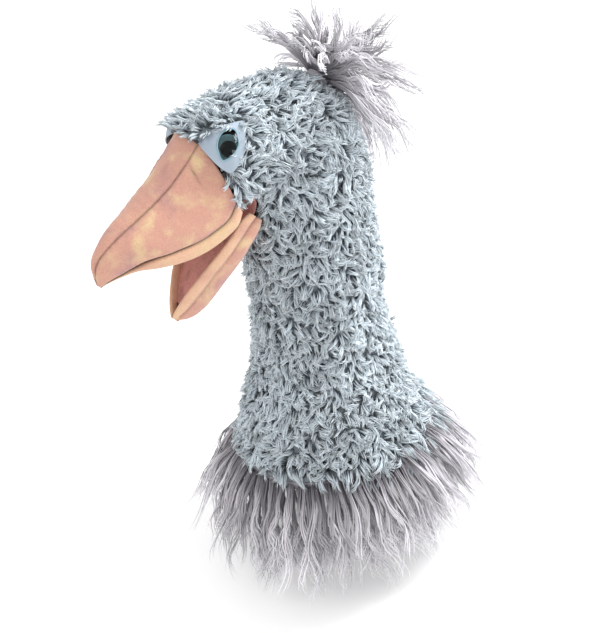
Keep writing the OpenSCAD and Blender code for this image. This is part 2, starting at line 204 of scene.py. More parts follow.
class ShagSettings(bpy.types.PropertyGroup):
    """Long silky locks of the fringe and the crest."""
    fringe_locks: count_value("Fringe locks", "Locks in each layer of the fringe", 112)
    fringe_length: length_value("Fringe length", "Length of a fringe lock", 96)
    crest_locks: count_value("Crest locks", "Locks in the crest", 120)
    crest_length: length_value("Crest length", "Length of a crest lock", 98)
    strands: count_value("Strands", "Strands in each long lock", 9)
    strand_width: length_value("Strand width", "Width of one strand at its thickest", 1.5)
    root: colour_value("Root colour", "Shag colour at the backing", srgb(140, 137, 143))
    middle: colour_value("Shag colour", "Shag colour along most of its length", srgb(208, 205, 210))
    tip: colour_value("Tip colour", "Shag colour at the tips", srgb(236, 235, 239))


class BeakSettings(bpy.types.PropertyGroup):
    """Stuffed velour beak."""
    thickness: length_value("Velour thickness", "Thickness of the padded velour", 2.4)
    crown: length_value("Crown", "Height of the crown along the top of the beak", 5)
    bulge: length_value("Bulge", "Outward bulge of the stuffed sides", 5)
    seam_depth: length_value("Seam depth", "Depth of the sewn seams", 1.3)
    pink: colour_value("Pink", "Main colour of the velour", srgb(203, 153, 135))
    yellow: colour_value("Yellow", "Colour of its warm patches", srgb(218, 188, 148))
    mauve: colour_value("Mauve", "Colour of its cool patches", srgb(184, 138, 132))
    terry: colour_value("Mouth lining", "Colour of the terry inside the mouth", srgb(206, 142, 134))


class EyeSettings(bpy.types.PropertyGroup):
    """Plastic eyes in their fabric patches."""
    iris: colour_value("Iris", "Colour of the iris ring", srgb(92, 130, 138))
    patch: colour_value("Patch", "Colour of the smooth fabric round the eye", srgb(165, 178, 191))
    binding: colour_value("Cut edge", "Colour of the window's cut edge", srgb(126, 164, 176))


class StageSettings(bpy.types.PropertyGroup):
    """Floor, lights and camera."""
    floor_gap: length_value("Floor gap", "Room between the fringe and the floor", 4)
    key: bpy.props.FloatProperty(name="Key light", description="Power of the main softbox",
                                 default=29, min=0, subtype="POWER", unit="POWER")
    fill: share_value("Fill", "Strength of the light from all round", 0.86)
    azimuth: bpy.props.FloatProperty(name="Azimuth", description="Direction that the camera looks from",
                                     default=math.radians(60), subtype="ANGLE", unit="ROTATION")
    elevation: bpy.props.FloatProperty(name="Elevation", description="Height of the camera over level",
                                       default=math.radians(33), subtype="ANGLE", unit="ROTATION")
    roll: bpy.props.FloatProperty(name="Roll", description="Turn of the camera about its own view",
                                  default=math.radians(17), subtype="ANGLE", unit="ROTATION")
    distance: length_value("Distance", "Distance of the camera from the puppet", 1700)
    lens: bpy.props.FloatProperty(name="Lens", description="Focal length of the camera's lens",
                                  default=113.1, min=10, unit="CAMERA")


# ---------- curves, grids and meshes ----------

def unit(v):
    """Vectors of the same direction and of length one."""
    return v / np.maximum(np.linalg.norm(v, axis=-1, keepdims=True), 1e-9)


def run_length(points):
    """Distance along a row of points from its first one."""
    steps = np.linalg.norm(np.diff(points, axis=0), axis=1)
    return np.concatenate([[0], np.cumsum(steps)])


def curve_through(knots, values, at):
    """Smooth curve through the values at the knots, read at the places asked for."""
    knots, values, at = np.asarray(knots, float), np.asarray(values, float), np.asarray(at, float)
    slopes = np.gradient(values, knots, axis=0)
    i = np.clip(np.searchsorted(knots, at, side="right") - 1, 0, len(knots) - 2)
    gap = knots[i + 1] - knots[i]
    t = (at - knots[i]) / gap
    extra = (1,) * (values.ndim - 1)
    t, gap = t.reshape(t.shape + extra), gap.reshape(gap.shape + extra)
    a, b, m, n = values[i], values[i + 1], slopes[i] * gap, slopes[i + 1] * gap
    return (a * (1 + 2 * t) * (1 - t) ** 2 + m * t * (1 - t) ** 2
            + b * t * t * (3 - 2 * t) + n * t * t * (t - 1))


def ripple(points, size, seed):
    """Smooth unevenness between -1 and 1, with features of about the size given."""
    rng = np.random.default_rng(seed)
    total = 0
    for _ in range(4):
        wave = unit(rng.normal(size=3)) * 2 * math.pi / size * rng.uniform(0.6, 1.5)
        total = total + np.sin(points @ wave + rng.uniform(0, 2 * math.pi))
    return total / 2.6


def grid_normals(grid, centre):
    """Normals of a grid of points, facing away from the centre line given for its rows."""
    across = np.gradient(grid, axis=1)
    along = np.gradient(grid, axis=0)
    normals = unit(np.cross(along, across))
    outward = grid - centre
    facing = np.sign(np.sum(normals * outward, axis=-1).mean())
    return normals * (facing or 1)


def make_mesh(name, points, faces, marks=None):
    """A mesh piece from points in millimetres and a list of equally wide face arrays."""
    mesh = bpy.data.meshes.new(name)
    widths = np.concatenate([np.full(len(f), f.shape[1], np.int32) for f in faces])
    corners = np.concatenate([f.astype(np.int32).ravel() for f in faces])
    mesh.vertices.add(len(points))
    mesh.vertices.foreach_set("co", (np.asarray(points) * MM).astype(np.float32).ravel())
    mesh.loops.add(len(corners))
    mesh.loops.foreach_set("vertex_index", corners)
    mesh.polygons.add(len(widths))
    starts = np.concatenate([[0], np.cumsum(widths)[:-1]]).astype(np.int32)
    mesh.polygons.foreach_set("loop_start", starts)
    mesh.update(calc_edges=True)
    mesh.shade_smooth()
    if marks is not None:
        layer = mesh.attributes.new("marks", "FLOAT_COLOR", "POINT")
        full = np.ones((len(points), 4), np.float32)
        full[:, :marks.shape[1]] = marks
        layer.data.foreach_set("color", full.ravel())
    piece = bpy.data.objects.new(name, mesh)
    bpy.context.scene.collection.objects.link(piece)
    return piece


def mirrored(points):
    """Points on the puppet's other side."""
    return points * np.array([-1.0, 1.0, 1.0])


def shell_faces(kept, wrap):
    """Faces of a closed shell over the kept cells of a grid, whose inner points follow its outer ones."""
    rows, columns = kept.shape[0] + 1, kept.shape[1] + (0 if wrap else 1)
    inner = rows * columns
    def at(i, k):
        return i * columns + k % columns
    quads = []
    for i, k in zip(*np.nonzero(kept)):
        a, b, c, d = at(i, k), at(i, k + 1), at(i + 1, k + 1), at(i + 1, k)
        quads.append((a, b, c, d))
        quads.append((inner + d, inner + c, inner + b, inner + a))
        left = (k - 1) % kept.shape[1] if wrap or k else None
        right = (k + 1) % kept.shape[1] if wrap or k + 1 < kept.shape[1] else None
        if i == 0 or not kept[i - 1, k]:
            quads.append((b, a, inner + a, inner + b))
        if i + 1 == kept.shape[0] or not kept[i + 1, k]:
            quads.append((d, c, inner + c, inner + d))
        if left is None or not kept[i, left]:
            quads.append((a, d, inner + d, inner + a))
        if right is None or not kept[i, right]:
            quads.append((c, b, inner + b, inner + c))
    return np.array(quads)


def shell(name, outer, inner, wrap=False, kept=None, marks=None, flip=False):
    """A closed sheet between two grids of points."""
    rows, columns = outer.shape[:2]
    if kept is None:
        kept = np.ones((rows - 1, columns - (0 if wrap else 1)), bool)
    quads = shell_faces(kept, wrap)
    points = np.concatenate([outer.reshape(-1, 3), inner.reshape(-1, 3)])
    if marks is not None:
        marks = np.concatenate([marks.reshape(-1, marks.shape[-1])] * 2)
    used = np.unique(quads)
    renumber = np.zeros(len(points), int)
    renumber[used] = np.arange(len(used))
    quads = renumber[quads]
    if flip:
        quads = quads[:, ::-1]
    return make_mesh(name, points[used], [quads], None if marks is None else marks[used])


def both_sides(name, outer, inner, **options):
    """The left piece and its mirror image, named by side."""
    left = shell(name + "_left", outer, inner, **options)
    right = shell(name + "_right", mirrored(outer), mirrored(inner), flip=True, **options)
    return {"left": left, "right": right}


def tube(name, rings, closed=False, marks=None):
    """A closed solid through equal rings of points, or a ring-shaped one if closed."""
    rings = np.asarray(rings, float)
    rows, columns = rings.shape[:2]
    count = rows if closed else rows - 1
    i, k = np.meshgrid(np.arange(count), np.arange(columns), indexing="ij")
    j, n = (i + 1) % rows, (k + 1) % columns
    quads = np.stack([i * columns + k, i * columns + n, j * columns + n, j * columns + k], -1)
    points, faces = rings.reshape(-1, 3), [quads.reshape(-1, 4)]
    if not closed:
        ends = np.stack([rings[0].mean(0), rings[-1].mean(0)])
        points = np.concatenate([points, ends])
        k = np.arange(columns)
        n = (k + 1) % columns
        first, last = rows * columns, rows * columns + 1
        faces.append(np.stack([n, k, np.full(columns, first)], -1))
        base = (rows - 1) * columns
        faces.append(np.stack([base + k, base + n, np.full(columns, last)], -1))
        if marks is not None:
            marks = np.concatenate([marks, marks[:1], marks[-1:]])
    piece = make_mesh(name, points, faces, marks)
    return outward(piece)


def outward(piece):
    """Turns a closed piece's faces outwards, going by its volume."""
    mesh = piece.data
    mesh.calc_loop_triangles()
    co = np.empty(len(mesh.vertices) * 3, np.float32)
    mesh.vertices.foreach_get("co", co)
    co = co.reshape(-1, 3)
    tris = np.empty(len(mesh.loop_triangles) * 3, np.int32)
    mesh.loop_triangles.foreach_get("vertices", tris)
    a, b, c = (co[tris.reshape(-1, 3)[:, n]] for n in range(3))
    if float(np.sum(a * np.cross(b, c))) < 0:
        mesh.flip_normals()
    return piece


def turned(name, profile, sides=128, wobble=0.0, seed=1):
    """A ring turned about +Z from a closed outline of radius and height."""
    profile = np.asarray(profile, float)
    angle = np.linspace(0, 2 * math.pi, sides, endpoint=False)
    radius = profile[None, :, 0] * np.ones((sides, 1))
    height = profile[None, :, 1] * np.ones((sides, 1))
    rings = np.stack([radius * np.cos(angle)[:, None], radius * np.sin(angle)[:, None], height], -1)
    if wobble:
        rings[..., :2] *= (1 + wobble * ripple(rings, 30, seed) / 80)[..., None]
    return tube(name, rings, closed=True)


def rounded_strip(r0, r1, z0, z1, corner, steps=5):
    """Outline of a strip with rounded edges, as radius and height."""
    outline = []
    for cr, cz, start in ((r1 - corner, z1 - corner, 0), (r0 + corner, z1 - corner, 90),
                          (r0 + corner, z0 + corner, 180), (r1 - corner, z0 + corner, 270)):
        for k in range(steps + 1):
            a = math.radians(start + 90 * k / steps)
            outline.append([cr + corner * math.cos(a), cz + corner * math.sin(a)])
    return outline


# ---------- the skin of the neck and head ----------

def skin_stations():
    """Throat point, back point and half width of every ring from the hem to the face."""
    back = np.array([math.cos(LEAN), -math.sin(LEAN)])
    rows = []
    for radius, up in SLEEVE:
        centre = up * np.array([math.sin(LEAN), math.cos(LEAN)])
        r = radius + PILE
        rows.append([*(centre - r * back), *(centre + r * back), r])
    return np.array(rows + HEAD, float)


STATIONS = skin_stations()
SKIN_KNOTS = (run_length(STATIONS[:, :2]) + run_length(STATIONS[:, 2:4])) / 2
HEAD_START = SKIN_KNOTS[len(SLEEVE) + FIRST_HEAD_RING]
SKIN_END = SKIN_KNOTS[-1]


def skin(v, around, depth):
    """Points a given depth inside the tips, v along the puppet and an angle around it, 0 at the throat."""
    s = curve_through(SKIN_KNOTS, STATIONS, v)
    throat, back, width = s[..., 0:2], s[..., 2:4], s[..., 4]
    power = 2 / curve_through(SKIN_KNOTS, np.array(SQUARENESS), v)
    across, along = (np.sign(c) * np.abs(c) ** power for c in (np.sin(around), np.cos(around)))
    half = (back - throat) / 2
    reach = np.linalg.norm(half, axis=-1)
    q = (throat + back) / 2 - unit(half) * ((reach - depth) * along)[..., None]
    return np.concatenate([(-(width - depth) * across)[..., None], q], axis=-1)


def neck_to_skin(up):
    """The v whose ring lies that far up the neck at its middle."""
    middle = (STATIONS[:, :2] + STATIONS[:, 2:4]) / 2
    ups = middle @ np.array([math.sin(LEAN), math.cos(LEAN)])
    v = np.linspace(0, SKIN_END, 600)
    return float(np.interp(up, curve_through(SKIN_KNOTS, ups, v)[:400], v[:400]))


def skin_grid(v0, v1, rows, columns, depth):
    """Rows and columns of points all round the skin, between two heights along it."""
    v = np.linspace(v0, v1, rows)[:, None] * np.ones((1, columns))
    around = np.linspace(0, 2 * math.pi, columns, endpoint=False)[None, :] * np.ones((rows, 1))
    return skin(v, around, depth)


def skin_frames(v, around, depth):
    """Points on the skin, their outward normals and the way down towards the hem."""
    step = 0.6
    p = skin(v, around, depth)
    along = skin(v + step, around, depth) - skin(v - step, around, depth)
    turning = skin(v, around + 0.01, depth) - skin(v, around - 0.01, depth)
    normal = unit(np.cross(along, turning))
    middle = skin(v, around, 0) + skin(v, around + math.pi, 0)
    normal *= np.sign(np.sum(normal * (p - middle / 2), -1, keepdims=True))
    down = -along
    down = unit(down - normal * np.sum(down * normal, -1, keepdims=True))
    return p, normal, down


def face_line(p):
    """How far each point lies behind the seam where the plush meets the beak."""
    seam = np.interp(p[..., 2], [236, 250, 262, 277, 287, 342, 350, 356],
                     [-90, -44, -38, -41, -43, -49, -55, -60])
    return p[..., 1] - seam


def in_mouth(p):
    """Points in the opening that the beak fills."""
    x, y, z = np.abs(p[..., 0]), p[..., 1], p[..., 2]
    low = np.interp(x, [0, 20, 31], [240, 243, 250])
    return (x < 31) & (y < -19) & (z > low) & (z < 338)


def eye_axes(side):
    """Rows of a frame whose third row looks out of the left or right eye."""
    tilt, turn = EYE_TILT, EYE_TURN
    out_tilt = np.array([[math.cos(tilt), 0, math.sin(tilt)], [0, 1, 0],
                         [-math.sin(tilt), 0, math.cos(tilt)]])
    out_turn = np.array([[math.cos(turn), -math.sin(turn), 0],
                         [math.sin(turn), math.cos(turn), 0], [0, 0, 1]])
    axes = (out_turn @ out_tilt).T
    return axes if side == "left" else axes * np.array([-1.0, 1.0, 1.0])


def to_eye(p):
    """Points in the frame of the eye on their own side."""
    own = np.stack([np.abs(p[..., 0]), p[..., 1], p[..., 2]], -1)
    return (own - EYE_AT) @ eye_axes("left").T


# Fabric patch round the eye, in the eye's frame, and the window cut in it
PATCH = [[-14.5, -19.5], [-18.6, -6], [-18.6, 8], [-17, 20.5], [-12, 20], [-2, 15], [8, 10], [18, -2],
         [16, -8], [4, -15]]
BARE_PATCH = [[-13, -24], [-15.5, -4], [-15.5, 8], [-14.5, 18], [-9, 14], [3, 8], [14, -5], [20, -18],
              [2, -30]]
WINDOW = [[-14.4, 4.3], [-13.6, 8.6], [-11.0, 10.6], [-5.5, 10.2], [-0.5, 8.8], [4, 4.6], [7, -1],
          [7.6, -6.6], [5.4, -8.6], [0.5, -8.6], [-5, -7.8], [-10, -4.6], [-13.2, -0.4]]

# Hole in the plush's woven back, a little inside the patch so that the patch covers its edge
BACKING_HOLE = [[0.93 * x, 0.93 * y] for x, y in PATCH]


def inside_outline(q, outline):
    """Which of the flat points lie inside a closed outline."""
    hit = np.zeros(q.shape[:-1], bool)
    for (x0, y0), (x1, y1) in zip(outline, outline[1:] + outline[:1]):
        crosses = (y0 > q[..., 1]) != (y1 > q[..., 1])
        if y0 != y1:
            hit ^= crosses & (q[..., 0] < x0 + (q[..., 1] - y0) / (y1 - y0) * (x1 - x0))
    return hit


def on_patch(p, outline):
    """Which points lie inside an outline in the eye's frame."""
    q = to_eye(p)
    return inside_outline(q[..., :2], outline) & (q[..., 2] > EYE_REACH)


def neck_distance(p):
    """Distance along the neck's own direction."""
    return p @ NECK_UP


# ---------- strands ----------

def strand_faces(rings):
    """Faces of one three-sided strand with the number of rings given and a pointed tip."""
    quads = [[3 * k + j, 3 * k + (j + 1) % 3, 3 * k + 3 + (j + 1) % 3, 3 * k + 3 + j]
             for k in range(rings - 1) for j in range(3)]
    last = 3 * (rings - 1)
    tip = [[last + j, last + (j + 1) % 3, 3 * rings] for j in range(3)]
    return np.array(quads), np.array(tip + [[2, 1, 0]])


def strands(name, lines, radius, across, tones):
    """One mesh of tapering strands along lines of equal numbers of points."""
    count, steps = lines.shape[0], lines.shape[1] - 1
    ahead = unit(np.gradient(lines, axis=1))
    side = unit(np.cross(ahead, across[:, None, :]))
    rise = np.cross(side, ahead)
    turns = np.array([90, 210, 330]) * math.pi / 180
    ring = (side[:, :steps, None, :] * np.cos(turns)[:, None]
            + rise[:, :steps, None, :] * np.sin(turns)[:, None])
    points = lines[:, :steps, None, :] + ring * radius[:, :steps, None, None]
    points = np.concatenate([points.reshape(count, -1, 3), lines[:, steps:, :]], axis=1)
    quads, tris = strand_faces(steps)
    offsets = (np.arange(count) * (3 * steps + 1))[:, None, None]
    s = np.concatenate([np.repeat(np.arange(steps), 3) / steps, [1.0]])
    marks = np.empty((count, 3 * steps + 1, 3))
    marks[:, :, 0] = s
    marks[:, :, 1:] = tones[:, None, :]
    faces = [(offsets + quads).reshape(-1, 4), (offsets + tris).reshape(-1, 3)]
    return make_mesh(name, points.reshape(-1, 3), faces, marks.reshape(-1, 3))


def lay_line(root, normal, flow, length, lift, turn, steps):
    """Centre lines of locks: lift is the angle off the fabric at the root and at the tip."""
    side = np.cross(normal, flow)
    line = [root]
    for k in range(steps):
        f = (k + 0.5) / steps
        rise = (lift[0] + (lift[1] - lift[0]) * f)[:, None]
        yaw = (turn * f)[:, None]
        ahead = flow * np.cos(yaw) + side * np.sin(yaw)
        line.append(line[-1] + (ahead * np.cos(rise) + normal * np.sin(rise)) * length[:, None] / steps)
    return np.stack(line, 1)


def split_locks(lines, normal, flow, count, spread, gather, wild, width, rng, tones):
    """Splits every lock into strands that stand apart at the root and gather towards the tip."""
    locks, steps = lines.shape[0], lines.shape[1] - 1
    angle = rng.uniform(0, 2 * math.pi, (locks, count))
    away = spread * np.sqrt(rng.uniform(0, 1, (locks, count)))
    side = np.cross(normal, flow)
    offset = (side[:, None, :] * (away * np.cos(angle))[..., None]
              + flow[:, None, :] * (away * np.sin(angle))[..., None])
    s = np.linspace(0, 1, steps + 1)
    close = 1 - gather * s
    share = rng.uniform(0.72, 1.06, (locks, count))
    root = lines[:, None, :1, :]
    body = root + (lines[:, None, :, :] - root) * share[..., None, None]
    wisp = rng.normal(0, wild, (locks, count, 1, 3)) * np.linalg.norm(
        lines[:, -1] - lines[:, 0], axis=-1)[:, None, None, None]
    body = body + offset[:, :, None, :] * close[:, None] + wisp * (s * s)[:, None]
    body = body.reshape(-1, steps + 1, 3)
    taper = np.interp(s, [0, 0.35, 0.8, 1], [0.62, 1, 0.62, 0.1])
    radius = width / 2 * taper[None, :] * rng.uniform(0.75, 1.2, (len(body), 1))
    across = np.repeat(normal, count, axis=0) + rng.normal(0, 0.5, (len(body), 3))
    strand_tones = np.stack([np.repeat(tones, count), rng.uniform(0, 1, len(body))], -1)
    return body, radius, across, strand_tones


def spaced_out(points, gap):
    """Indices of points, in order, that keep at least the gap from those kept before."""
    cells, kept, reach = {}, [], gap * gap
    keys = np.floor(points / gap).astype(int)
    near = [(i, j, k) for i in (-1, 0, 1) for j in (-1, 0, 1) for k in (-1, 0, 1)]
    for n, (p, key) in enumerate(zip(points.tolist(), keys.tolist())):
        others = [q for d in near for q in cells.get((key[0] + d[0], key[1] + d[1], key[2] + d[2]), ())]
        if all((p[0] - q[0]) ** 2 + (p[1] - q[1]) ** 2 + (p[2] - q[2]) ** 2 >= reach for q in others):
            cells.setdefault(tuple(key), []).append(p)
            kept.append(n)
    return np.array(kept)


def scatter(gap, rng):
    """Evenly spaced places on the skin, as v and the angle around it."""
    rows, columns = 260, 180
    v = np.linspace(neck_to_skin(3), SKIN_END, rows)
    grid = skin_grid(v[0], v[-1], rows, columns, CLOTH_DEPTH)
    along = np.linalg.norm(np.diff(grid, axis=0), axis=-1)
    wide = np.linalg.norm(np.roll(grid, -1, axis=1) - grid, axis=-1)[:-1]
    area = (along * wide).ravel()
    count = int(area.sum() / (gap * gap) * 3.2)
    cell = rng.choice(len(area), count, p=area / area.sum())
    place = (cell // columns + rng.uniform(0, 1, count)) / (rows - 1)
    around = (cell % columns + rng.uniform(0, 1, count)) * 2 * math.pi / columns
    v = v[0] + place * (v[-1] - v[0])
    keep = spaced_out(skin(v, around, CLOTH_DEPTH), gap * 0.86)
    return v[keep], around[keep]


# ---------- materials ----------

def place(tree, kind, **inputs):
    """Adds a shader node and sets its inputs and settings by name."""
    node = tree.nodes.new(kind)
    for key, value in inputs.items():
        if hasattr(node, key) and key not in node.inputs:
            setattr(node, key, value)
        else:
            node.inputs[key.replace("_", " ")].default_value = value
    return node


def feed(tree, socket, value):
    """Links a socket to another one, or sets it to a number or a colour."""
    if isinstance(value, bpy.types.NodeSocket):
        tree.links.new(value, socket)
    else:
        socket.default_value = value if isinstance(value, (int, float)) else (*value[:3], 1)


def maths(tree, operation, *values):
    """A Math node of sockets and numbers."""
    node = place(tree, "ShaderNodeMath", operation=operation)
    for socket, value in zip(node.inputs, values):
        feed(tree, socket, value)
    return node.outputs[0]


def mixed(tree, factor, first, second, blend="MIX"):
    """A colour Mix node of sockets, numbers and colours."""
    node = tree.nodes.new("ShaderNodeMix")
    node.data_type, node.blend_type, node.clamp_factor = "RGBA", blend, True
    for index, value in ((0, factor), (6, first), (7, second)):
        feed(tree, node.inputs[index], value)
    return node.outputs[2]


def noise(tree, scale, detail=3, stretch=None):
    """Noise over the object's own coordinates, about 0 to 1."""
    vector = tree.nodes.new("ShaderNodeTexCoord").outputs["Object"]
    if stretch is not None:
        squeeze = place(tree, "ShaderNodeMapping", Scale=stretch)
        tree.links.new(vector, squeeze.inputs["Vector"])
        vector = squeeze.outputs["Vector"]
    node = place(tree, "ShaderNodeTexNoise", Detail=detail)
    feed(tree, node.inputs["Scale"], scale)
    tree.links.new(vector, node.inputs["Vector"])
    return node.outputs["Fac"]


def spread(tree, value, low, high):
    """Stretches the part of a value between low and high to 0 to 1."""
    node = tree.nodes.new("ShaderNodeMapRange")
    node.interpolation_type = "SMOOTHSTEP"
    tree.links.new(value, node.inputs["Value"])
    node.inputs["From Min"].default_value = low
    node.inputs["From Max"].default_value = high
    return node.outputs["Result"]


def new_group(name, inputs, outputs):
    """A shader node group; inputs are name, kind and default."""
    group = bpy.data.node_groups.new(name, "ShaderNodeTree")
    for title, kind, value in inputs:
        socket = group.interface.new_socket(title, in_out="INPUT", socket_type=kind)
        socket.default_value = value
    for title, kind in outputs:
        group.interface.new_socket(title, in_out="OUTPUT", socket_type=kind)
    return group, group.nodes.new("NodeGroupInput"), group.nodes.new("NodeGroupOutput")


FLOAT, COLOUR, SPECULAR = "NodeSocketFloat", "NodeSocketColor", "Specular IOR Level"
WHITE = (1, 1, 1, 1)


def painted_marks(group):
    """The three marks painted on a mesh."""
    marks = place(group, "ShaderNodeAttribute", attribute_name="marks")
    parts = group.nodes.new("ShaderNodeSeparateColor")
    group.links.new(marks.outputs["Color"], parts.inputs["Color"])
    return parts.outputs[:3]


def off_middle(group, value, strength):
    """How far a value stands above its middle, times a strength."""
    return maths(group, "MULTIPLY", maths(group, "SUBTRACT", value, 0.5), strength)


def shaded(group, colour, level):
    """A colour made lighter or darker by a level."""
    grey = group.nodes.new("ShaderNodeCombineColor")
    for socket in grey.inputs[:3]:
        group.links.new(level, socket)
    return mixed(group, 1.0, colour, grey.outputs[0], "MULTIPLY")


def strand_tone_group():
    """Colour along a strand, darker in its lock's shade, from the marks painted on the mesh."""
    group, given, result = new_group("Strand tone", [
        ("Root", COLOUR, WHITE), ("Middle", COLOUR, WHITE), ("Tip", COLOUR, WHITE),
        ("Lock contrast", FLOAT, 0.3), ("Strand contrast", FLOAT, 0.2)], [("Colour", COLOUR)])
    along, lock, own = painted_marks(group)
    low = mixed(group, spread(group, along, 0.08, 0.5), given.outputs["Root"], given.outputs["Middle"])
    full = mixed(group, spread(group, along, 0.5, 1.0), low, given.outputs["Tip"])
    tones = maths(group, "ADD", off_middle(group, lock, given.outputs["Lock contrast"]),
                  off_middle(group, own, given.outputs["Strand contrast"]))
    level = maths(group, "ADD", 1.0, tones)
    group.links.new(shaded(group, full, level), result.inputs["Colour"])
    return group


def nap_group():
    """Short brushed nap in soft patches of three colours, with painted shade darkening the seams."""
    group, given, result = new_group("Brushed nap", [
        ("Main", COLOUR, WHITE), ("Warm", COLOUR, WHITE), ("Cool", COLOUR, WHITE),
        ("Patch scale", FLOAT, 26.0), ("Grain scale", FLOAT, 1500.0), ("Grain", FLOAT, 0.2),
        ("Seam shade", FLOAT, 0.5)], [("Colour", COLOUR), ("Height", FLOAT)])
    broad = noise(group, given.outputs["Patch scale"], 2.5)
    finer = maths(group, "MULTIPLY", given.outputs["Patch scale"], 0.83)
    other = noise(group, finer, 2.0, (1.3, 0.8, 1.1))
    warm = mixed(group, spread(group, broad, 0.46, 0.78), given.outputs["Main"], given.outputs["Warm"])
    patched = mixed(group, spread(group, other, 0.50, 0.80), warm, given.outputs["Cool"])
    grain = noise(group, given.outputs["Grain scale"], 2)
    speck = off_middle(group, grain, given.outputs["Grain"])
    # Painted shade: the seam marks darken the colour along the seams' grooves.
    shade = maths(group, "MULTIPLY", painted_marks(group)[0], given.outputs["Seam shade"])
    level = maths(group, "SUBTRACT", maths(group, "ADD", 1.0, speck), shade)
    group.links.new(shaded(group, patched, level), result.inputs["Colour"])
    folds = maths(group, "MULTIPLY", noise(group, 190, 3), 1.6)
    group.links.new(maths(group, "ADD", grain, folds), result.inputs["Height"])
    return group


def weave_group():
    """Plain weave: two sets of threads crossing, with uneven dye."""
    group, given, result = new_group("Plain weave", [
        ("Thread", COLOUR, WHITE), ("Shadow", COLOUR, WHITE), ("Threads", FLOAT, 1400.0)],
        [("Colour", COLOUR), ("Height", FLOAT)])
    object_space = group.nodes.new("ShaderNodeTexCoord").outputs["Object"]
    waves = []
    for direction in ("X", "Z"):
        wave = place(group, "ShaderNodeTexWave", bands_direction=direction, Distortion=0.6)
        group.links.new(object_space, wave.inputs["Vector"])
        group.links.new(given.outputs["Threads"], wave.inputs["Scale"])
        waves.append(wave.outputs["Fac"])
    cross = maths(group, "MULTIPLY", *waves)
    dye = noise(group, 60, 3)
    level = maths(group, "ADD", maths(group, "MULTIPLY", cross, 0.6), maths(group, "MULTIPLY", dye, 0.5))
    group.links.new(mixed(group, level, given.outputs["Shadow"], given.outputs["Thread"]),
                    result.inputs["Colour"])
    group.links.new(cross, result.inputs["Height"])
    return group


def speckle_group():
    """Moulded plastic or pressed board: faint flow marks and specks."""
    group, given, result = new_group("Moulded surface", [
        ("Colour", COLOUR, WHITE), ("Speck colour", COLOUR, WHITE), ("Speck scale", FLOAT, 400.0)],
        [("Colour", COLOUR), ("Roughness", FLOAT), ("Height", FLOAT)])
    fine = noise(group, given.outputs["Speck scale"], 4)
    broad = noise(group, 45, 2)
    specks = spread(group, fine, 0.52, 0.75)
    group.links.new(mixed(group, specks, given.outputs["Colour"], given.outputs["Speck colour"]),
                    result.inputs["Colour"])
    group.links.new(maths(group, "ADD", 0.18, maths(group, "MULTIPLY", broad, 0.18)),
                    result.inputs["Roughness"])
    group.links.new(fine, result.inputs["Height"])
    return group


GROUP_MAKERS = {"Strand tone": strand_tone_group, "Brushed nap": nap_group,
                "Plain weave": weave_group, "Moulded surface": speckle_group}


def start_material(name, roughness, sheen=0.0, sheen_roughness=0.4):
    """A new material with its Principled shader's plain values set."""
    material = bpy.data.materials.new(name)
    material.use_nodes = True
    shader = material.node_tree.nodes["Principled BSDF"]
    shader.inputs["Roughness"].default_value = roughness
    shader.inputs["Sheen Weight"].default_value = sheen
    shader.inputs["Sheen Roughness"].default_value = sheen_roughness
    return material, material.node_tree, shader


def use_group(tree, name, **values):
    """Places a shared node group with its own values."""
    shared = bpy.data.node_groups.get(name) or GROUP_MAKERS[name]()
    node = tree.nodes.new("ShaderNodeGroup")
    node.node_tree = shared
    for key, value in values.items():
        socket = node.inputs[key.replace("_", " ")]
        socket.default_value = (*value[:3], 1) if hasattr(value, "__len__") else value
    return node


def bumped(tree, shader, height, strength, distance):
    """Raises the surface of a material by a height."""
    bump = place(tree, "ShaderNodeBump", Strength=strength, Distance=distance)
    tree.links.new(height, bump.inputs["Height"])
    tree.links.new(bump.outputs["Normal"], shader.inputs["Normal"])


def strand_material(name, settings, lock_contrast, strand_contrast, roughness):
    """Dyed strands, paler towards their tips."""
    material, tree, shader = start_material(name, roughness)
    tone = use_group(tree, "Strand tone", Root=settings.root, Middle=settings.middle, Tip=settings.tip,
                     Lock_contrast=lock_contrast, Strand_contrast=strand_contrast)
    tree.links.new(tone.outputs["Colour"], shader.inputs["Base Color"])
    shader.inputs[SPECULAR].default_value = 0.25
    return material


def nap_material(name, main, warm, cool, patch_scale, grain_scale, grain, seam_shade, depth):
    """Short brushed cloth in three soft colours."""
    material, tree, shader = start_material(name, 0.9, 0.35, 0.5)
    nap = use_group(tree, "Brushed nap", Main=main, Warm=warm, Cool=cool, Patch_scale=patch_scale,
                    Grain_scale=grain_scale, Grain=grain, Seam_shade=seam_shade)
    tree.links.new(nap.outputs["Colour"], shader.inputs["Base Color"])
    bumped(tree, shader, nap.outputs["Height"], 0.55, depth)
    shader.inputs[SPECULAR].default_value = 0.2
    return material


def woven_material(name, thread, shadow, threads):
    """Plain woven cloth."""
    material, tree, shader = start_material(name, 0.88, 0.15)
    weave = use_group(tree, "Plain weave", Thread=thread, Shadow=shadow, Threads=threads)
    tree.links.new(weave.outputs["Colour"], shader.inputs["Base Color"])
    bumped(tree, shader, weave.outputs["Height"], 0.5, 0.0004)
    return material


def moulded_material(name, colour, speck, scale, coat, relief=0.15):
    """Moulded plastic or board, speckled and perhaps coated."""
    material, tree, shader = start_material(name, 0.3)
    surface = use_group(tree, "Moulded surface", Colour=colour, Speck_colour=speck, Speck_scale=scale)
    tree.links.new(surface.outputs["Colour"], shader.inputs["Base Color"])
    tree.links.new(surface.outputs["Roughness"], shader.inputs["Roughness"])
    bumped(tree, shader, surface.outputs["Height"], relief, 0.0002)
    shader.inputs["Coat Weight"].default_value = coat
    return material


def tint(colour, share):
    """A colour made darker or lighter by a share."""
    return tuple(min(1, share * c) for c in colour)


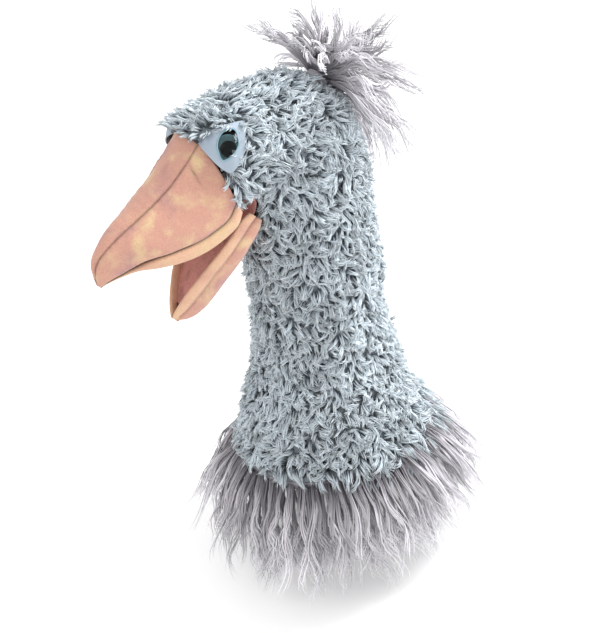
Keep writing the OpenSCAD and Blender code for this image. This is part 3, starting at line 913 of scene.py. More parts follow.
def finish(name):
    """The material of that name, made the first time that it is asked for."""
    scene = bpy.context.scene
    plush, shag, beak, eyes = scene.puppet_plush, scene.puppet_shag, scene.puppet_beak, scene.puppet_eyes
    lip = tuple(1.12 * (0.6 * a + 0.4 * b) for a, b in zip(beak.pink, beak.yellow))
    maker, *values = {
        "Plush pile": (strand_material, plush, 0.42, 0.34, 0.78),
        "Shag locks": (strand_material, shag, 0.72, 0.34, 0.7),
        "Plush backing": (woven_material, plush.root, tint(plush.root, 0.8), 1300),
        "Lining cloth": (woven_material, srgb(92, 94, 100), srgb(44, 45, 50), 1500),
        "Fringe tape": (woven_material, srgb(208, 204, 210), srgb(150, 146, 154), 900),
        "Beak velour": (nap_material, beak.pink, beak.yellow, beak.mauve, 58, 750, 0.36, 0.55, 0.0006),
        "Lip velour": (nap_material, lip, beak.yellow, beak.pink, 42, 750, 0.34, 0.5, 0.0006),
        "Mouth terry": (nap_material, beak.terry, beak.terry, tint(beak.terry, 0.62),
                        90, 700, 0.6, 0.3, 0.0012),
        "Eye patch cloth": (nap_material, eyes.patch, tint(eyes.patch, 1.12), tint(eyes.patch, 0.82),
                            60, 2200, 0.12, 0.3, 0.0003),
        "Window edge": (nap_material, eyes.binding, eyes.binding, eyes.patch, 60, 2200, 0.1, 0.2, 0.0002),
        "Black felt": (nap_material, srgb(22, 23, 26), srgb(34, 35, 38), srgb(14, 14, 16),
                       120, 1800, 0.5, 0.2, 0.0005),
        "Wadding": (nap_material, srgb(236, 233, 224), srgb(246, 244, 238), srgb(214, 209, 196),
                    70, 500, 0.25, 0.3, 0.0012),
        "Mouth board": (moulded_material, srgb(214, 204, 180), srgb(176, 160, 128), 500, 0.0),
        "Iris plastic": (moulded_material, eyes.iris, tint(eyes.iris, 0.6), 700, 0.4),
        "Pupil plastic": (moulded_material, srgb(5, 5, 7), srgb(8, 8, 11), 300, 0.0, 0.0),
        "Washer plastic": (moulded_material, srgb(232, 232, 228), srgb(214, 214, 208), 300, 0.2),
    }[name]
    return bpy.data.materials.get(name) or maker(name, *values)


# ---------- finishing pieces ----------

def give_material(piece, material):
    """Gives a piece one material in place of any that it has."""
    piece.data.materials.clear()
    piece.data.materials.append(material)


def dress(piece, material):
    """Gives a new piece its material by name."""
    give_material(piece, finish(material))
    return piece


def fit(piece, material, slot, body, *nodes):
    """Dresses a piece, lets it stand for its CAD nodes and rides it on its body."""
    dress(piece, material)
    if nodes:
        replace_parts(piece, *nodes)
    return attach(piece, body)


def cloth(piece):
    """Reads the areas of a closed sheet's faces, and keeps nothing of them."""
    mesh = piece.data
    areas = np.empty(len(mesh.polygons), np.float32)
    mesh.polygons.foreach_get("area", areas)


NECK_TURN = ("root", "collar", TURN_FROM, TURN_TO)
NECK_NOD = ("collar", "head", NOD_FROM, NOD_TO)


def hang(piece, carrier):
    """Rides a piece on a body, or, for a piece between two bodies along the neck, bakes its place into its
    mesh.
    """
    if isinstance(carrier, str):
        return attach(piece, carrier)
    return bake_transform(piece)


ZONES = [("sleeve", "root"), ("turning_neck", NECK_TURN), ("nodding_neck", NECK_NOD), ("head", "head")]


def zone_edges():
    """Where each zone of fabric begins and ends along the skin."""
    cuts = [neck_to_skin(HEM_Z), neck_to_skin(TURN_FROM), neck_to_skin(NOD_FROM - 3), HEAD_START, SKIN_END]
    return list(zip(cuts, cuts[1:]))


def zone_shell(name, edges, depth, thickness, bare_outline, rows, wrinkle=0.0):
    """A closed shell of fabric round one zone, open where the beak and the eyes come through."""
    columns = 120
    outer = skin_grid(*edges, rows, columns, depth)
    inner = skin_grid(*edges, rows, columns, depth + thickness)
    if wrinkle:
        facing = grid_normals(outer, outer.mean(1, keepdims=True))
        shift = facing * (wrinkle * ripple(outer, 34, 5))[..., None]
        inner = inner + shift
        outer = outer + shift
    cells = (outer[:-1] + outer[1:] + np.roll(outer, -1, 1)[:-1] + np.roll(outer, -1, 1)[1:]) / 4
    kept = (face_line(cells) > 0) & ~in_mouth(cells) & ~on_patch(cells, bare_outline)
    return outward(shell(name, outer, inner, wrap=True, kept=kept))


PLUSH_NODES = {"sleeve": ["neck_plush_left", "neck_plush_right"],
               "turning_neck": ["collar_plush_left", "collar_plush_right"],
               "nodding_neck": ["nape_gusset", "throat_plush"],
               "head": ["head_plush_left", "head_plush_right", "crown_gusset"]}
LINING_NODES = {"sleeve": ["sleeve_lining_lower"], "turning_neck": ["sleeve_lining_upper"],
                "nodding_neck": [], "head": ["head_lining"]}


class PUPPET_OT_plush(bpy.types.Operator):
    """Backing fabric of the neck and head, with its curly pile"""
    bl_idname = "puppet.plush"
    bl_label = "Plush"

    def execute(self, context):
        settings = context.scene.puppet_plush
        pile = self.pile(settings)
        for (zone, carrier), edges in zip(ZONES, zone_edges()):
            backing = zone_shell(zone + "_backing", edges, CLOTH_DEPTH, CLOTH_T, BACKING_HOLE, 40)
            dress(backing, "Plush backing")
            hang(backing, carrier)
            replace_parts(backing, *PLUSH_NODES[zone])
            cloth(backing)
        return {"FINISHED"}

    def pile(self, settings):
        """Small locks over the whole skin, each lying the way its tuft does."""
        rng = np.random.default_rng(PILE_SEED)
        v, around = scatter(settings.lock_gap / MM, rng)
        root, normal, down = skin_frames(v, around, CLOTH_DEPTH)
        root += normal * np.interp(root[:, 2], [12, 22], [3.4, 0])[:, None]
        bare = (face_line(root) < -1) | in_mouth(root) | on_patch(root, BARE_PATCH)
        root, normal, down = (a[~bare] for a in (root, normal, down))
        flow, lift, tones = self.comb(root, normal, down, settings.tuft_gap / MM, rng)
        face = face_line(root)
        length = settings.pile_length / MM * rng.uniform(0.8, 1.15, len(root))
        length *= np.interp(face, [0, 10], [0.8, 1]) + np.interp(root[:, 2], [6, 20], [1.1, 0])
        brow = (root[:, 2] > 338) & (face < 26)
        length[brow] = settings.pile_length / MM * rng.uniform(0.9, 1.15, brow.sum())
        curl = rng.normal(0, 1.15, len(root))
        lines = lay_line(root, normal, flow, length, lift, curl, 4)
        body, radius, across, marks = split_locks(
            lines, normal, flow, settings.strands, 2.4, 0.55, 0.07, settings.strand_width / MM, rng, tones)
        owner = np.repeat(np.arange(len(root)), settings.strands)
        return self.pieces(root[owner], body, radius, across, marks)

    def comb(self, root, normal, down, gap, rng):
        """Way, lift and tone of every lock: each tuft falls its own way and parts from its middle."""
        heads = spaced_out(root, gap * 0.8)
        tree = KDTree(len(heads))
        for n, i in enumerate(heads):
            tree.insert(Vector(root[i]), n)
        tree.balance()
        tuft = np.array([tree.find(Vector(p))[1] for p in root])
        forward = np.clip((root[:, 2] - 336) / 12, 0, 1) * np.clip((2 - root[:, 1]) / 34, 0, 1)
        fall = np.array([0, -0.35, -1.0]) - normal * (normal @ np.array([0, -0.35, -1.0]))[:, None]
        flow = down + unit(fall) * 0.7 * (1 - forward[:, None])
        ahead = np.array([0, -1.0, 0.1]) - normal * (normal @ np.array([0, -1.0, 0.1]))[:, None]
        flow = flow * (1 - forward[:, None]) + unit(ahead) * forward[:, None] * 1.5
        edge = np.clip(1 - face_line(root) / 13, 0, 1)[:, None]
        flow = unit(flow) + edge * np.array([0, -1.0, -0.9])
        eye = to_eye(root)
        from_rim = np.abs(np.linalg.norm(eye[:, :2] + [2, 0], axis=1) - 15)
        rim = np.clip(1 - from_rim / 9, 0, 1) * (eye[:, 2] > EYE_REACH)
        inward = EYE_AT * np.where(root[:, :1] < 0, [-1, 1, 1], [1, 1, 1]) - root
        flow = flow + unit(inward) * (1.7 * rim * (eye[:, 1] > -12))[:, None]
        flow = unit(flow - normal * np.sum(flow * normal, -1, keepdims=True))
        from_head = root - root[heads][tuft]
        from_head -= normal * np.sum(from_head * normal, -1, keepdims=True)
        tuft_yaw = rng.normal(0, 0.55, len(heads))
        swirl = 0.75 * ripple(root, 46, 3) + 0.45 * ripple(root, 24, 4)
        yaw = swirl + tuft_yaw[tuft] + rng.normal(0, 0.2, len(root))
        hem = np.clip((24 - root[:, 2]) / 12, 0, 1)
        yaw = yaw * (1 - 0.55 * forward) * (1 - 0.6 * hem)
        yaw = (yaw * (1 - 0.6 * edge[:, 0]) * (1 - 0.7 * rim))[:, None]
        flow = flow * np.cos(yaw) + np.cross(normal, flow) * np.sin(yaw)
        flow = unit(flow + from_head / gap * 2.1 * (1 - 0.7 * hem[:, None]))
        rise = rng.normal(0, 0.13, len(heads))[tuft] + rng.normal(0, 0.10, len(root))
        lift = np.stack([1.0 + rise + 0.15 * forward, 0.08 + 1.2 * rise + 0.55 * forward])
        tones = np.clip(rng.normal(0.5, 0.22, len(heads))[tuft] + rng.normal(0, 0.16, len(root)), 0, 1)
        return flow, lift, tones

    def pieces(self, root, body, radius, across, marks):
        """Pile pieces by zone and side, each light enough to handle."""
        up = neck_distance(root)
        cuts = [-1e9, TURN_FROM, NOD_FROM - 3, NOD_TO, 1e9]
        made = []
        for (zone, carrier), low, high in zip(ZONES, cuts, cuts[1:]):
            for side, sign in (("left", 1), ("right", -1)):
                own = np.nonzero((up >= low) & (up < high) & (np.sign(root[:, 0] + 1e-6) == sign))[0]
                own = own[np.argsort(up[own], kind="stable")]
                parts = max(1, math.ceil(len(own) / MOST_LOCKS))
                for n, part in enumerate(np.array_split(own, parts)):
                    name = f"{zone}_pile_{side}" + (f"_{n + 1}" if parts > 1 else "")
                    piece = strands(name, body[part], radius[part], across[part], marks[part])
                    made.append(hang(dress(piece, "Plush pile"), carrier))
        return made


class PUPPET_OT_linings(bpy.types.Operator):
    """Lining cloth inside the sleeve and head, and the turned cuff"""
    bl_idname = "puppet.linings"
    bl_label = "Linings"

    def execute(self, context):
        for (zone, carrier), edges in zip(ZONES, zone_edges()):
            lining = zone_shell(zone + "_lining_cloth", edges, LINING_DEPTH, LINING_T, PATCH, 26, 0.35)
            dress(lining, "Lining cloth")
            hang(lining, carrier)
            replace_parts(lining, *LINING_NODES[zone])
            cloth(lining)
        cuff = turned("arm_cuff_roll", rounded_strip(64.2, 68.8, 0.2, 23.8, 2.2), wobble=0.35, seed=8)
        fit(cuff, "Lining cloth", "lining_fabric", "root", "arm_cuff")
        fit(self.stitch_ring("cuff_stitches", 64.1, 20.5, 96), "Fringe tape", "lining_fabric", "root")
        return {"FINISHED"}

    def stitch_ring(self, name, radius, height, count):
        """A ring of short stitches on the inside of the cuff."""
        lines = []
        for n in range(count):
            a = 2 * math.pi * (n + np.linspace(0, 0.62, 5)) / count
            bow = np.array([0.5, -0.15, -0.35, -0.15, 0.5])
            lines.append(np.stack([(radius + bow) * np.cos(a), (radius + bow) * np.sin(a),
                                   np.full(5, float(height))], -1))
        lines = np.array(lines)
        radii = np.full((count, 5), 0.35)
        across = np.tile([0.0, 0.0, 1.0], (count, 1))
        return strands(name, lines, radii, across, np.full((count, 2), 0.6))


# ---------- hem, fringe and crest ----------

def long_locks(name, root, normal, flow, length, lift, wave, tone, settings, rng, parts=1, droop=None):
    """Long wavy locks of silky strands from their roots."""
    steps = 13
    lines = lay_line(root, normal, flow, length, lift, rng.normal(0, 0.22, len(root)), steps)
    side = np.cross(normal, flow)
    s = np.linspace(0, 1, steps + 1)
    phase = rng.uniform(0, 2 * math.pi, (len(root), 1))
    bends = rng.uniform(0.9, 2.4, (len(root), 1))
    sway = wave * np.sin(phase + 2 * math.pi * bends * s) * s
    bob = 0.5 * wave * np.sin(1.3 * phase + 2 * math.pi * (bends + 0.6) * s) * s
    lines = lines + side[:, None, :] * sway[..., None] + normal[:, None, :] * bob[..., None]
    if droop is not None:
        lines = lines + HANG * (droop[:, None] * s ** 2)[..., None]
    # Tones scatter round the tone given, which for the fringe holds painted light on its lit side.
    tones = np.clip(rng.normal(tone, 0.25, len(root)), 0, 1)
    body, radius, across, marks = split_locks(
        lines, normal, flow, settings.strands, 2.4, 0.85, 0.03, settings.strand_width / MM, rng, tones)
    pieces = []
    for n, part in enumerate(np.array_split(np.arange(len(body)), parts)):
        title = name if parts == 1 else f"{name}_{n + 1}"
        pieces.append(dress(strands(title, body[part], radius[part], across[part], marks[part]),
                            "Shag locks"))
    return pieces


class PUPPET_OT_hem(bpy.types.Operator):
    """Woven tape and binding of the hem, and the long fringe sewn to them"""
    bl_idname = "puppet.hem"
    bl_label = "Hem and fringe"

    def execute(self, context):
        settings = context.scene.puppet_shag
        tape = turned("hem_tape", rounded_strip(69.4, 82.8, 0.1, 7.9, 1.2), wobble=0.3, seed=4)
        fit(tape, "Fringe tape", "shag", "root", "fringe_tape")
        binding = turned("hem_roll", rounded_strip(69.4, 82.8, 8.1, 13.9, 2.4), wobble=0.5, seed=6)
        fit(binding, "Plush backing", "plush", "root", "hem_binding")
        rng = np.random.default_rng(FRINGE_SEED)
        count = settings.fringe_locks
        rows = len(FRINGE_ROWS)
        spot = np.tile(np.arange(count), rows) + rng.uniform(-0.4, 0.4, rows * count)
        angle = 2 * math.pi * spot / count
        order = np.argsort(np.sin(angle) < 0, kind="stable")
        angle = angle[order]
        height, first, last, out = np.repeat(FRINGE_ROWS, count, axis=0)[order].T
        radial = np.stack([np.cos(angle), np.sin(angle), np.zeros_like(angle)], -1)
        root = radial * out[:, None] + np.stack([0 * height, 0 * height, height], -1)
        hang = HANG - radial * (radial @ HANG)[:, None]
        down = unit(hang)
        length = settings.fringe_length / MM * rng.uniform(0.78, 1.04, len(root))
        swing = 1 - 0.4 * np.clip(radial[:, 1], 0, 1) + 0.2 * np.abs(radial[:, 0])
        first = (first + rng.normal(0, 0.12, len(root))) * swing
        last = last + 0.7 * np.arcsin(radial @ HANG) + 0.12 * ripple(root, 60, 9)
        last = last + rng.normal(0, 0.12, len(root))
        # Painted light: fringe locks towards +Y, the side that the key softbox lights, get paler tones than
        # the rest.
        locks = long_locks("fringe_shag", root, radial, down, length, np.stack([first, last]), 5.4,
                           0.5 + 0.4 * np.clip(radial[:, 1], 0, 1), settings, rng, parts=2)
        for piece in locks:
            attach(piece, "root")
        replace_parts(locks[0], "fringe_locks")
        return {"FINISHED"}


class PUPPET_OT_crest(bpy.types.Operator):
    """Gathered root of the crest and its long locks"""
    bl_idname = "puppet.crest"
    bl_label = "Crest"

    def execute(self, context):
        settings = context.scene.puppet_shag
        rng = np.random.default_rng(CREST_SEED)
        count = settings.crest_locks
        axis = np.array([0, math.sin(CREST_TILT), math.cos(CREST_TILT)])
        left = np.array([1.0, 0, 0])
        ahead = np.cross(axis, left)
        share = np.sqrt((np.arange(count) + 0.5) / count)
        turn = np.arange(count) * GOLDEN_ANGLE
        outward_way = np.cos(turn)[:, None] * left + np.sin(turn)[:, None] * ahead
        root = CREST_AT + outward_way * (11.5 * share)[:, None] + axis * (6 - 5 * share ** 2)[:, None]
        tilt = (1.5 * share + rng.normal(0, 0.16, count))[:, None]
        way = unit(axis * np.cos(tilt) + outward_way * np.sin(tilt))
        normal = unit(outward_way * np.cos(tilt) - axis * np.sin(tilt) + 1e-3)
        length = settings.crest_length / MM * rng.uniform(0.62, 1.05, count)
        length *= 1 - 0.3 * np.clip(way[:, 2], 0, 1) ** 2
        bend = np.stack([rng.normal(-0.25, 0.2, count), rng.normal(0.35, 0.3, count)])
        droop = rng.uniform(12, 56, count) * (0.35 + 0.65 * share) * np.where(way[:, 1] > 0, 1, 0.35)
        droop *= 1 - 0.4 * np.abs(way[:, 0])
        locks, = long_locks("crest_shag", root, normal, way, length, bend, 6.5, 0.5, settings, rng,
                            droop=droop)
        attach(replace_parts(locks, "crest_locks"), "head")
        knot = self.knot(axis, left, ahead)
        fit(knot, "Fringe tape", "shag", "head", "crest_base")
        return {"FINISHED"}

    def knot(self, axis, left, ahead):
        """The gathered disc that the locks are sewn to."""
        profile = [(2, -5.6), (7, -5.8), (9.6, -3.6), (10.4, 0.5), (9.2, 3.2), (6, 4.8), (2, 5.4)]
        angle = np.linspace(0, 2 * math.pi, 40, endpoint=False)
        rings = [CREST_AT + axis * h + r * (1 + 0.05 * np.sin(9 * angle))[:, None]
                 * (np.cos(angle)[:, None] * left + np.sin(angle)[:, None] * ahead) for r, h in profile]
        return tube("crest_knot", rings)


# ---------- beak ----------

def sewn(grid, centre, depth, ends=(True, True), puff=0.0):
    """Puffs a stuffed panel and draws its long edges into their seams. Returns its points, marks of painted
    shade along the seams, and its normals.
    """
    steps = np.linalg.norm(np.diff(grid, axis=1), axis=-1)
    run = np.concatenate([np.zeros((len(grid), 1)), np.cumsum(steps, axis=1)], axis=1)
    total = run[:, -1:]
    near = np.full(run.shape, 1e3)
    if ends[0]:
        near = np.minimum(near, run)
    if ends[1]:
        near = np.minimum(near, total - run)
    draw = np.exp(-(near / 2.0) ** 2)
    normal = grid_normals(grid, centre)
    out = grid + normal * (puff * (1 - np.exp(-near / 6)) - depth * draw)[..., None]
    # Painted shade along each seam, strongest in its groove.
    seam = np.exp(-(near / 1.1) ** 2)
    return out, seam[..., None] * np.ones(3), normal


def towards(points, centre, thickness):
    """Points moved towards the middle of their row, never past it."""
    way = centre - points
    gap = np.linalg.norm(way, axis=-1, keepdims=True)
    return points + way * np.minimum(thickness / np.maximum(gap, 1e-6), 0.6)


class UpperBeak:
    """Smooth lines along the upper beak, from its base to its tip."""
    def __init__(self, rows):
        table = np.array(UPPER, float)
        closing = np.array([[0.8, -168.5, 272.5, 1.4, -166, 265.5, 1.1, -165.5, 265]])
        table = np.concatenate([table, closing])
        knots = (run_length(table[:, 0:3]) + run_length(table[:, 3:6])) / 2
        share = np.linspace(0, 1, rows)
        at = knots[-1] * (1 - (1 - share) ** 1.25)
        smooth = curve_through(knots, table, at)
        self.top, self.seam, self.lip = smooth[:, 0:3], smooth[:, 3:6], smooth[:, 6:9]
        middle = (self.top + self.seam) / 2
        self.core = np.stack([np.zeros(rows), middle[:, 1], middle[:, 2]], -1)[:, None, :]
        self.along = at / knots[-1]


class PUPPET_OT_upper_beak(bpy.types.Operator):
    """Top panel, side panels and lip strips of the upper beak"""
    bl_idname = "puppet.upper_beak"
    bl_label = "Upper beak"

    def execute(self, context):
        s = context.scene.puppet_beak
        beak = UpperBeak(110)
        self.culmen(beak, s)
        self.sides(beak, s)
        self.lips(beak, s)
        return {"FINISHED"}

    def culmen(self, beak, s):
        """Panel along the top of the beak."""
        across = np.linspace(-1, 1, 37)
        half = beak.top[:, :1]
        lift = s.crown / MM * np.minimum(1, half / 12)
        grid = np.stack([half * across, beak.top[:, 1:2] + 0 * across,
                         beak.top[:, 2:3] + lift * (1 - across ** 2)], -1)
        grid, seam, normal = sewn(grid, beak.core, s.seam_depth / MM)
        creases = np.sin(grid[..., 1] / 1.35 + 2.4 * ripple(grid, 26, 12)) * (0.4 + 0.6 * np.abs(across))
        fade = np.interp(beak.along, [0, 0.08, 0.45, 0.8], [0.2, 1, 0.55, 0])[:, None]
        grid = grid + normal * (0.34 * creases * fade + 0.35 * ripple(grid, 22, 2))[..., None]
        panel = shell("culmen_velour", grid, towards(grid, beak.core, s.thickness / MM), marks=seam)
        fit(outward(panel), "Beak velour", "beak_velour", "upper_beak", "culmen_panel")

    def sides(self, beak, s):
        """Side panels from the top seam to the lip."""
        f = np.linspace(0, 1, 49)[None, :, None]
        bulge = s.bulge / MM * np.minimum(1, beak.seam[:, 0] / 20)[:, None] * (4 * f * (1 - f))[..., 0]
        grid = beak.top[:, None, :] * (1 - f) + beak.seam[:, None, :] * f
        grid[..., 0] += bulge
        grid, seam, normal = sewn(grid, beak.core, s.seam_depth / MM, puff=0.4)
        dart = self.dart(grid)
        stitched = np.exp(-((f[..., 0] - 0.03) / 0.06) ** 2)
        pucker = stitched * np.sin(grid[..., 1] / 1.2 + 2 * ripple(grid, 20, 7))
        soft = 0.45 * ripple(grid, 30, 5) + 0.22 * pucker - 1.5 * dart
        grid = grid + normal * soft[..., None]
        # The dart's crease gets painted shade too.
        seam = np.maximum(seam, (0.8 * dart)[..., None])
        grid[..., 0] = np.maximum(grid[..., 0], 0.05)
        inner = towards(grid, beak.core, s.thickness / MM)
        panels = both_sides("upper_side_velour", grid, inner, marks=seam)
        for side, panel in panels.items():
            fit(outward(panel), "Beak velour", "beak_velour", "upper_beak", f"upper_side_{side}")

    def dart(self, grid):
        """How deep in the short dart each point lies, 1 in its middle."""
        start, end = np.array([19.5, -66, 329.5]), np.array([31, -66, 309])
        way = end - start
        t = np.clip((grid - start) @ way / (way @ way), 0, 1)
        gap = np.linalg.norm(grid - start - t[..., None] * way, axis=-1)
        return np.exp(-(gap / 1.1) ** 2) * np.interp(t, [0, 0.25, 1], [0.5, 1, 0.15])

    def lips(self, beak, s):
        """Strips of paler velour under the side panels."""
        g = np.linspace(0, 1, 19)[None, :, None]
        grid = beak.seam[:, None, :] * (1 - g) + beak.lip[:, None, :] * g
        width = np.linalg.norm(beak.lip - beak.seam, axis=1)[:, None]
        grid[..., 0] += 1.1 * np.sin(math.pi * g[..., 0]) * np.minimum(1, width / 8)
        core = beak.core * np.array([1.0, 1, 0]) + beak.seam[:, None, :] * np.array([0, 0, 1.0])
        grid, seam, _ = sewn(grid, core, s.seam_depth / MM, ends=(True, False))
        thick = np.minimum(s.thickness / MM + 0.5, beak.seam[:, :1] * 0.7)[..., None]
        roll = np.sin(np.linspace(0, 1, 7) * math.pi / 2)[None, :, None]
        under = grid[:, -1:, :] + roll * thick * np.array([-1.0, 0, 0]) \
            - np.sin(roll * math.pi) * np.array([0, 0, 0.9])
        outer = np.concatenate([grid, under[:, 1:]], axis=1)
        marks = np.concatenate([seam, np.repeat(seam[:, -1:] * 0, 6, axis=1)], axis=1)
        inner = outer - thick * np.array([1.0, 0, 0])
        inner[:, len(grid[0]):, :] = inner[:, len(grid[0]) - 1:len(grid[0]), :] \
            + np.linspace(0.3, 2.2, 6)[None, :, None] * np.array([0, 0, 1.0])
        inner[..., 0] = np.maximum(inner[..., 0], 0.04)
        outer[..., 0] = np.maximum(outer[..., 0], 0.05)
        strips = both_sides("upper_lip", outer, inner, marks=marks)
        for side, strip in strips.items():
            fit(outward(strip), "Lip velour", "lip_velour", "upper_beak", f"upper_rim_{side}")


def jaw_place(points):
    """Moves points from the level frame of the lower beak to where it hangs."""
    c, s = math.cos(JAW_DROP), math.sin(JAW_DROP)
    x, y, z = points[..., 0], points[..., 1], points[..., 2]
    return np.stack([x, y * c - z * s, y * s + z * c], -1) + JAW


class LowerBeak:
    """Smooth lines along the lower beak in its level frame."""
    def __init__(self, rows):
        table = np.array(LOWER + [[-106, 1.0, -4.5, -7.4, -9.5, 0.6]], float)
        knots = -table[:, 0]
        share = np.linspace(0, 1, rows)
        at = knots[0] + (knots[-1] - knots[0]) * (1 - (1 - share) ** 1.3)
        smooth = curve_through(knots, table, at)
        self.y, self.width, self.lip, self.seam, self.keel, self.keel_width = smooth.T


class PUPPET_OT_lower_beak(bpy.types.Operator):
    """Side panels and lip strips of the lower beak"""
    bl_idname = "puppet.lower_beak"
    bl_label = "Lower beak"

    def execute(self, context):
        s = context.scene.puppet_beak
        beak = LowerBeak(90)
        self.sides(beak, s)
        self.lips(beak)
        return {"FINISHED"}

    def sides(self, beak, s):
        """Side panels from the keel to the lip."""
        b = beak
        nothing = np.zeros_like(b.y)
        seam = np.stack([b.width, b.y, b.seam], -1)
        keel = np.stack([b.keel_width, b.y, b.keel], -1)
        middle = (seam + keel) / 2 + np.stack([4.2 * b.width / 34, nothing, nothing - 1.6], -1)
        centre = np.stack([nothing, b.y, b.keel - 1], -1)
        lines = np.stack([seam, middle, keel, centre], 0)
        grid = curve_through([0, 1, 2, 3], lines, np.linspace(0, 3, 43)).transpose(1, 0, 2)
        core = np.stack([nothing, b.y, (b.lip + b.keel) / 2], -1)[:, None, :]
        grid, marks, normal = sewn(grid, core, s.seam_depth / MM)
        grid = grid + normal * (0.4 * ripple(grid, 26, 15))[..., None]
        grid[:, -1, 0] = 0
        grid[..., 0] = np.maximum(grid[..., 0], 0)
        inner = towards(grid, core, s.thickness / MM)
        panels = both_sides("lower_side_velour", jaw_place(grid), jaw_place(inner), marks=marks)
        for side, panel in panels.items():
            fit(outward(panel), "Beak velour", "beak_velour", "lower_beak", f"lower_side_{side}")

    def lips(self, beak):
        """Rolled edges of paler velour along the side panels."""
        b = beak
        thick = np.minimum(3.0, b.width * 0.72)
        fold = np.clip(b.width / 12, 0.15, 1)
        outline = [(0, b.seam + 0.4), (0.9, b.seam * 0.7 + b.lip * 0.3),
                   (1.1, b.seam * 0.35 + b.lip * 0.65),
                   (0.4, b.lip - 0.4), (-0.9, b.lip + 0.5), (-2.0, b.lip + 0.1), (-2.8, b.lip - 1.4),
                   (-2.9, b.lip - 4.0), (-2.8, b.lip - 7.2), (-1.6, b.lip - 7.6), (-1.2, b.seam - 0.6)]
        lines = np.stack([np.stack([np.maximum(b.width + x * (fold if x > 0 else thick / 3.0), 0.05),
                                    b.y, z], -1) for x, z in outline], 1)
        closed = np.concatenate([lines[:, -2:], lines, lines[:, :3]], axis=1)
        knots = np.arange(closed.shape[1], dtype=float)
        fine = np.linspace(2, 2 + len(outline), 45)[:-1]
        rings = curve_through(knots, closed.transpose(1, 0, 2), fine).transpose(1, 0, 2)
        rings[..., 0] = np.maximum(rings[..., 0], 0.04)
        rings = rings + (0.22 * ripple(rings, 18, 4))[..., None] * np.array([1.0, 0, 0.6])
        # Painted shade along the lip's seam edge, where it meets the side panel.
        start = np.exp(-((np.arange(44) - 0.5) / 1.6) ** 2)
        marks = (np.ones((90, 1)) * start)[..., None] * np.ones(3)
        for side in ("left", "right"):
            placed = jaw_place(rings if side == "left" else mirrored(rings))
            strip = tube(f"lower_lip_{side}", placed, marks=marks.reshape(-1, 3))
            fit(strip, "Lip velour", "lip_velour", "lower_beak", f"lower_rim_{side}")


class PUPPET_OT_mouth(bpy.types.Operator):
    """Terry linings of the palate and the mouth floor, and the fold between them"""
    bl_idname = "puppet.mouth"
    bl_label = "Mouth linings"

    def execute(self, context):
        upper, lower = UpperBeak(60), LowerBeak(60)
        across = np.linspace(-1, 1, 33)
        rows = slice(0, 50)
        half = np.maximum(upper.seam[rows, :1] - 3.0, 0.6)
        vault = 1.2 + 3.6 * (1 - across ** 2) * np.minimum(1, half / 14)
        palate = np.stack([half * across, upper.seam[rows, 1:2] + 0 * across,
                           upper.seam[rows, 2:3] + vault], -1)
        self.lining("palate_terry", palate, 1.3, "palate_lining", "upper_beak")
        rows = slice(0, 48)
        half = np.maximum(lower.width[rows, None] - 3.1, 0.6)
        floor = np.stack([half * across, lower.y[rows, None] + 0 * across,
                          lower.lip[rows, None] - 6.2 - 0.7 * (1 - across ** 2)], -1)
        self.lining("floor_terry", jaw_place(floor), -1.3, "mouth_floor_lining", "lower_beak")
        bend = np.array([[-48, 291], [-38, 289], [-29, 281], [-27, 272], [-33, 264], [-40, 260]], float)
        smooth = curve_through(np.arange(6), bend, np.linspace(0, 5, 26))
        width = 29.5
        fold = np.stack([width * across + 0 * smooth[:, :1], smooth[:, :1] + 2.5 * across ** 2,
                         smooth[:, 1:2] + 0 * across], -1)
        self.lining("mouth_fold_terry", fold, 1.2, "mouth_fold", "head")
        return {"FINISHED"}

    def lining(self, name, grid, thickness, node, body):
        """A terry sheet with its loops worked into the surface."""
        normal = grid_normals(grid, grid.mean((0, 1)) - np.array([0, 0, 40.0]))
        loops = 0.18 * ripple(grid, 2.6, 3) + 0.22 * ripple(grid, 17, 6)
        grid = grid + normal * loops[..., None]
        piece = outward(shell(name, grid, grid + normal * thickness,
                              marks=np.zeros((*grid.shape[:2], 3))))
        fit(piece, "Mouth terry", "mouth_terry", body, node)
        cloth(piece)


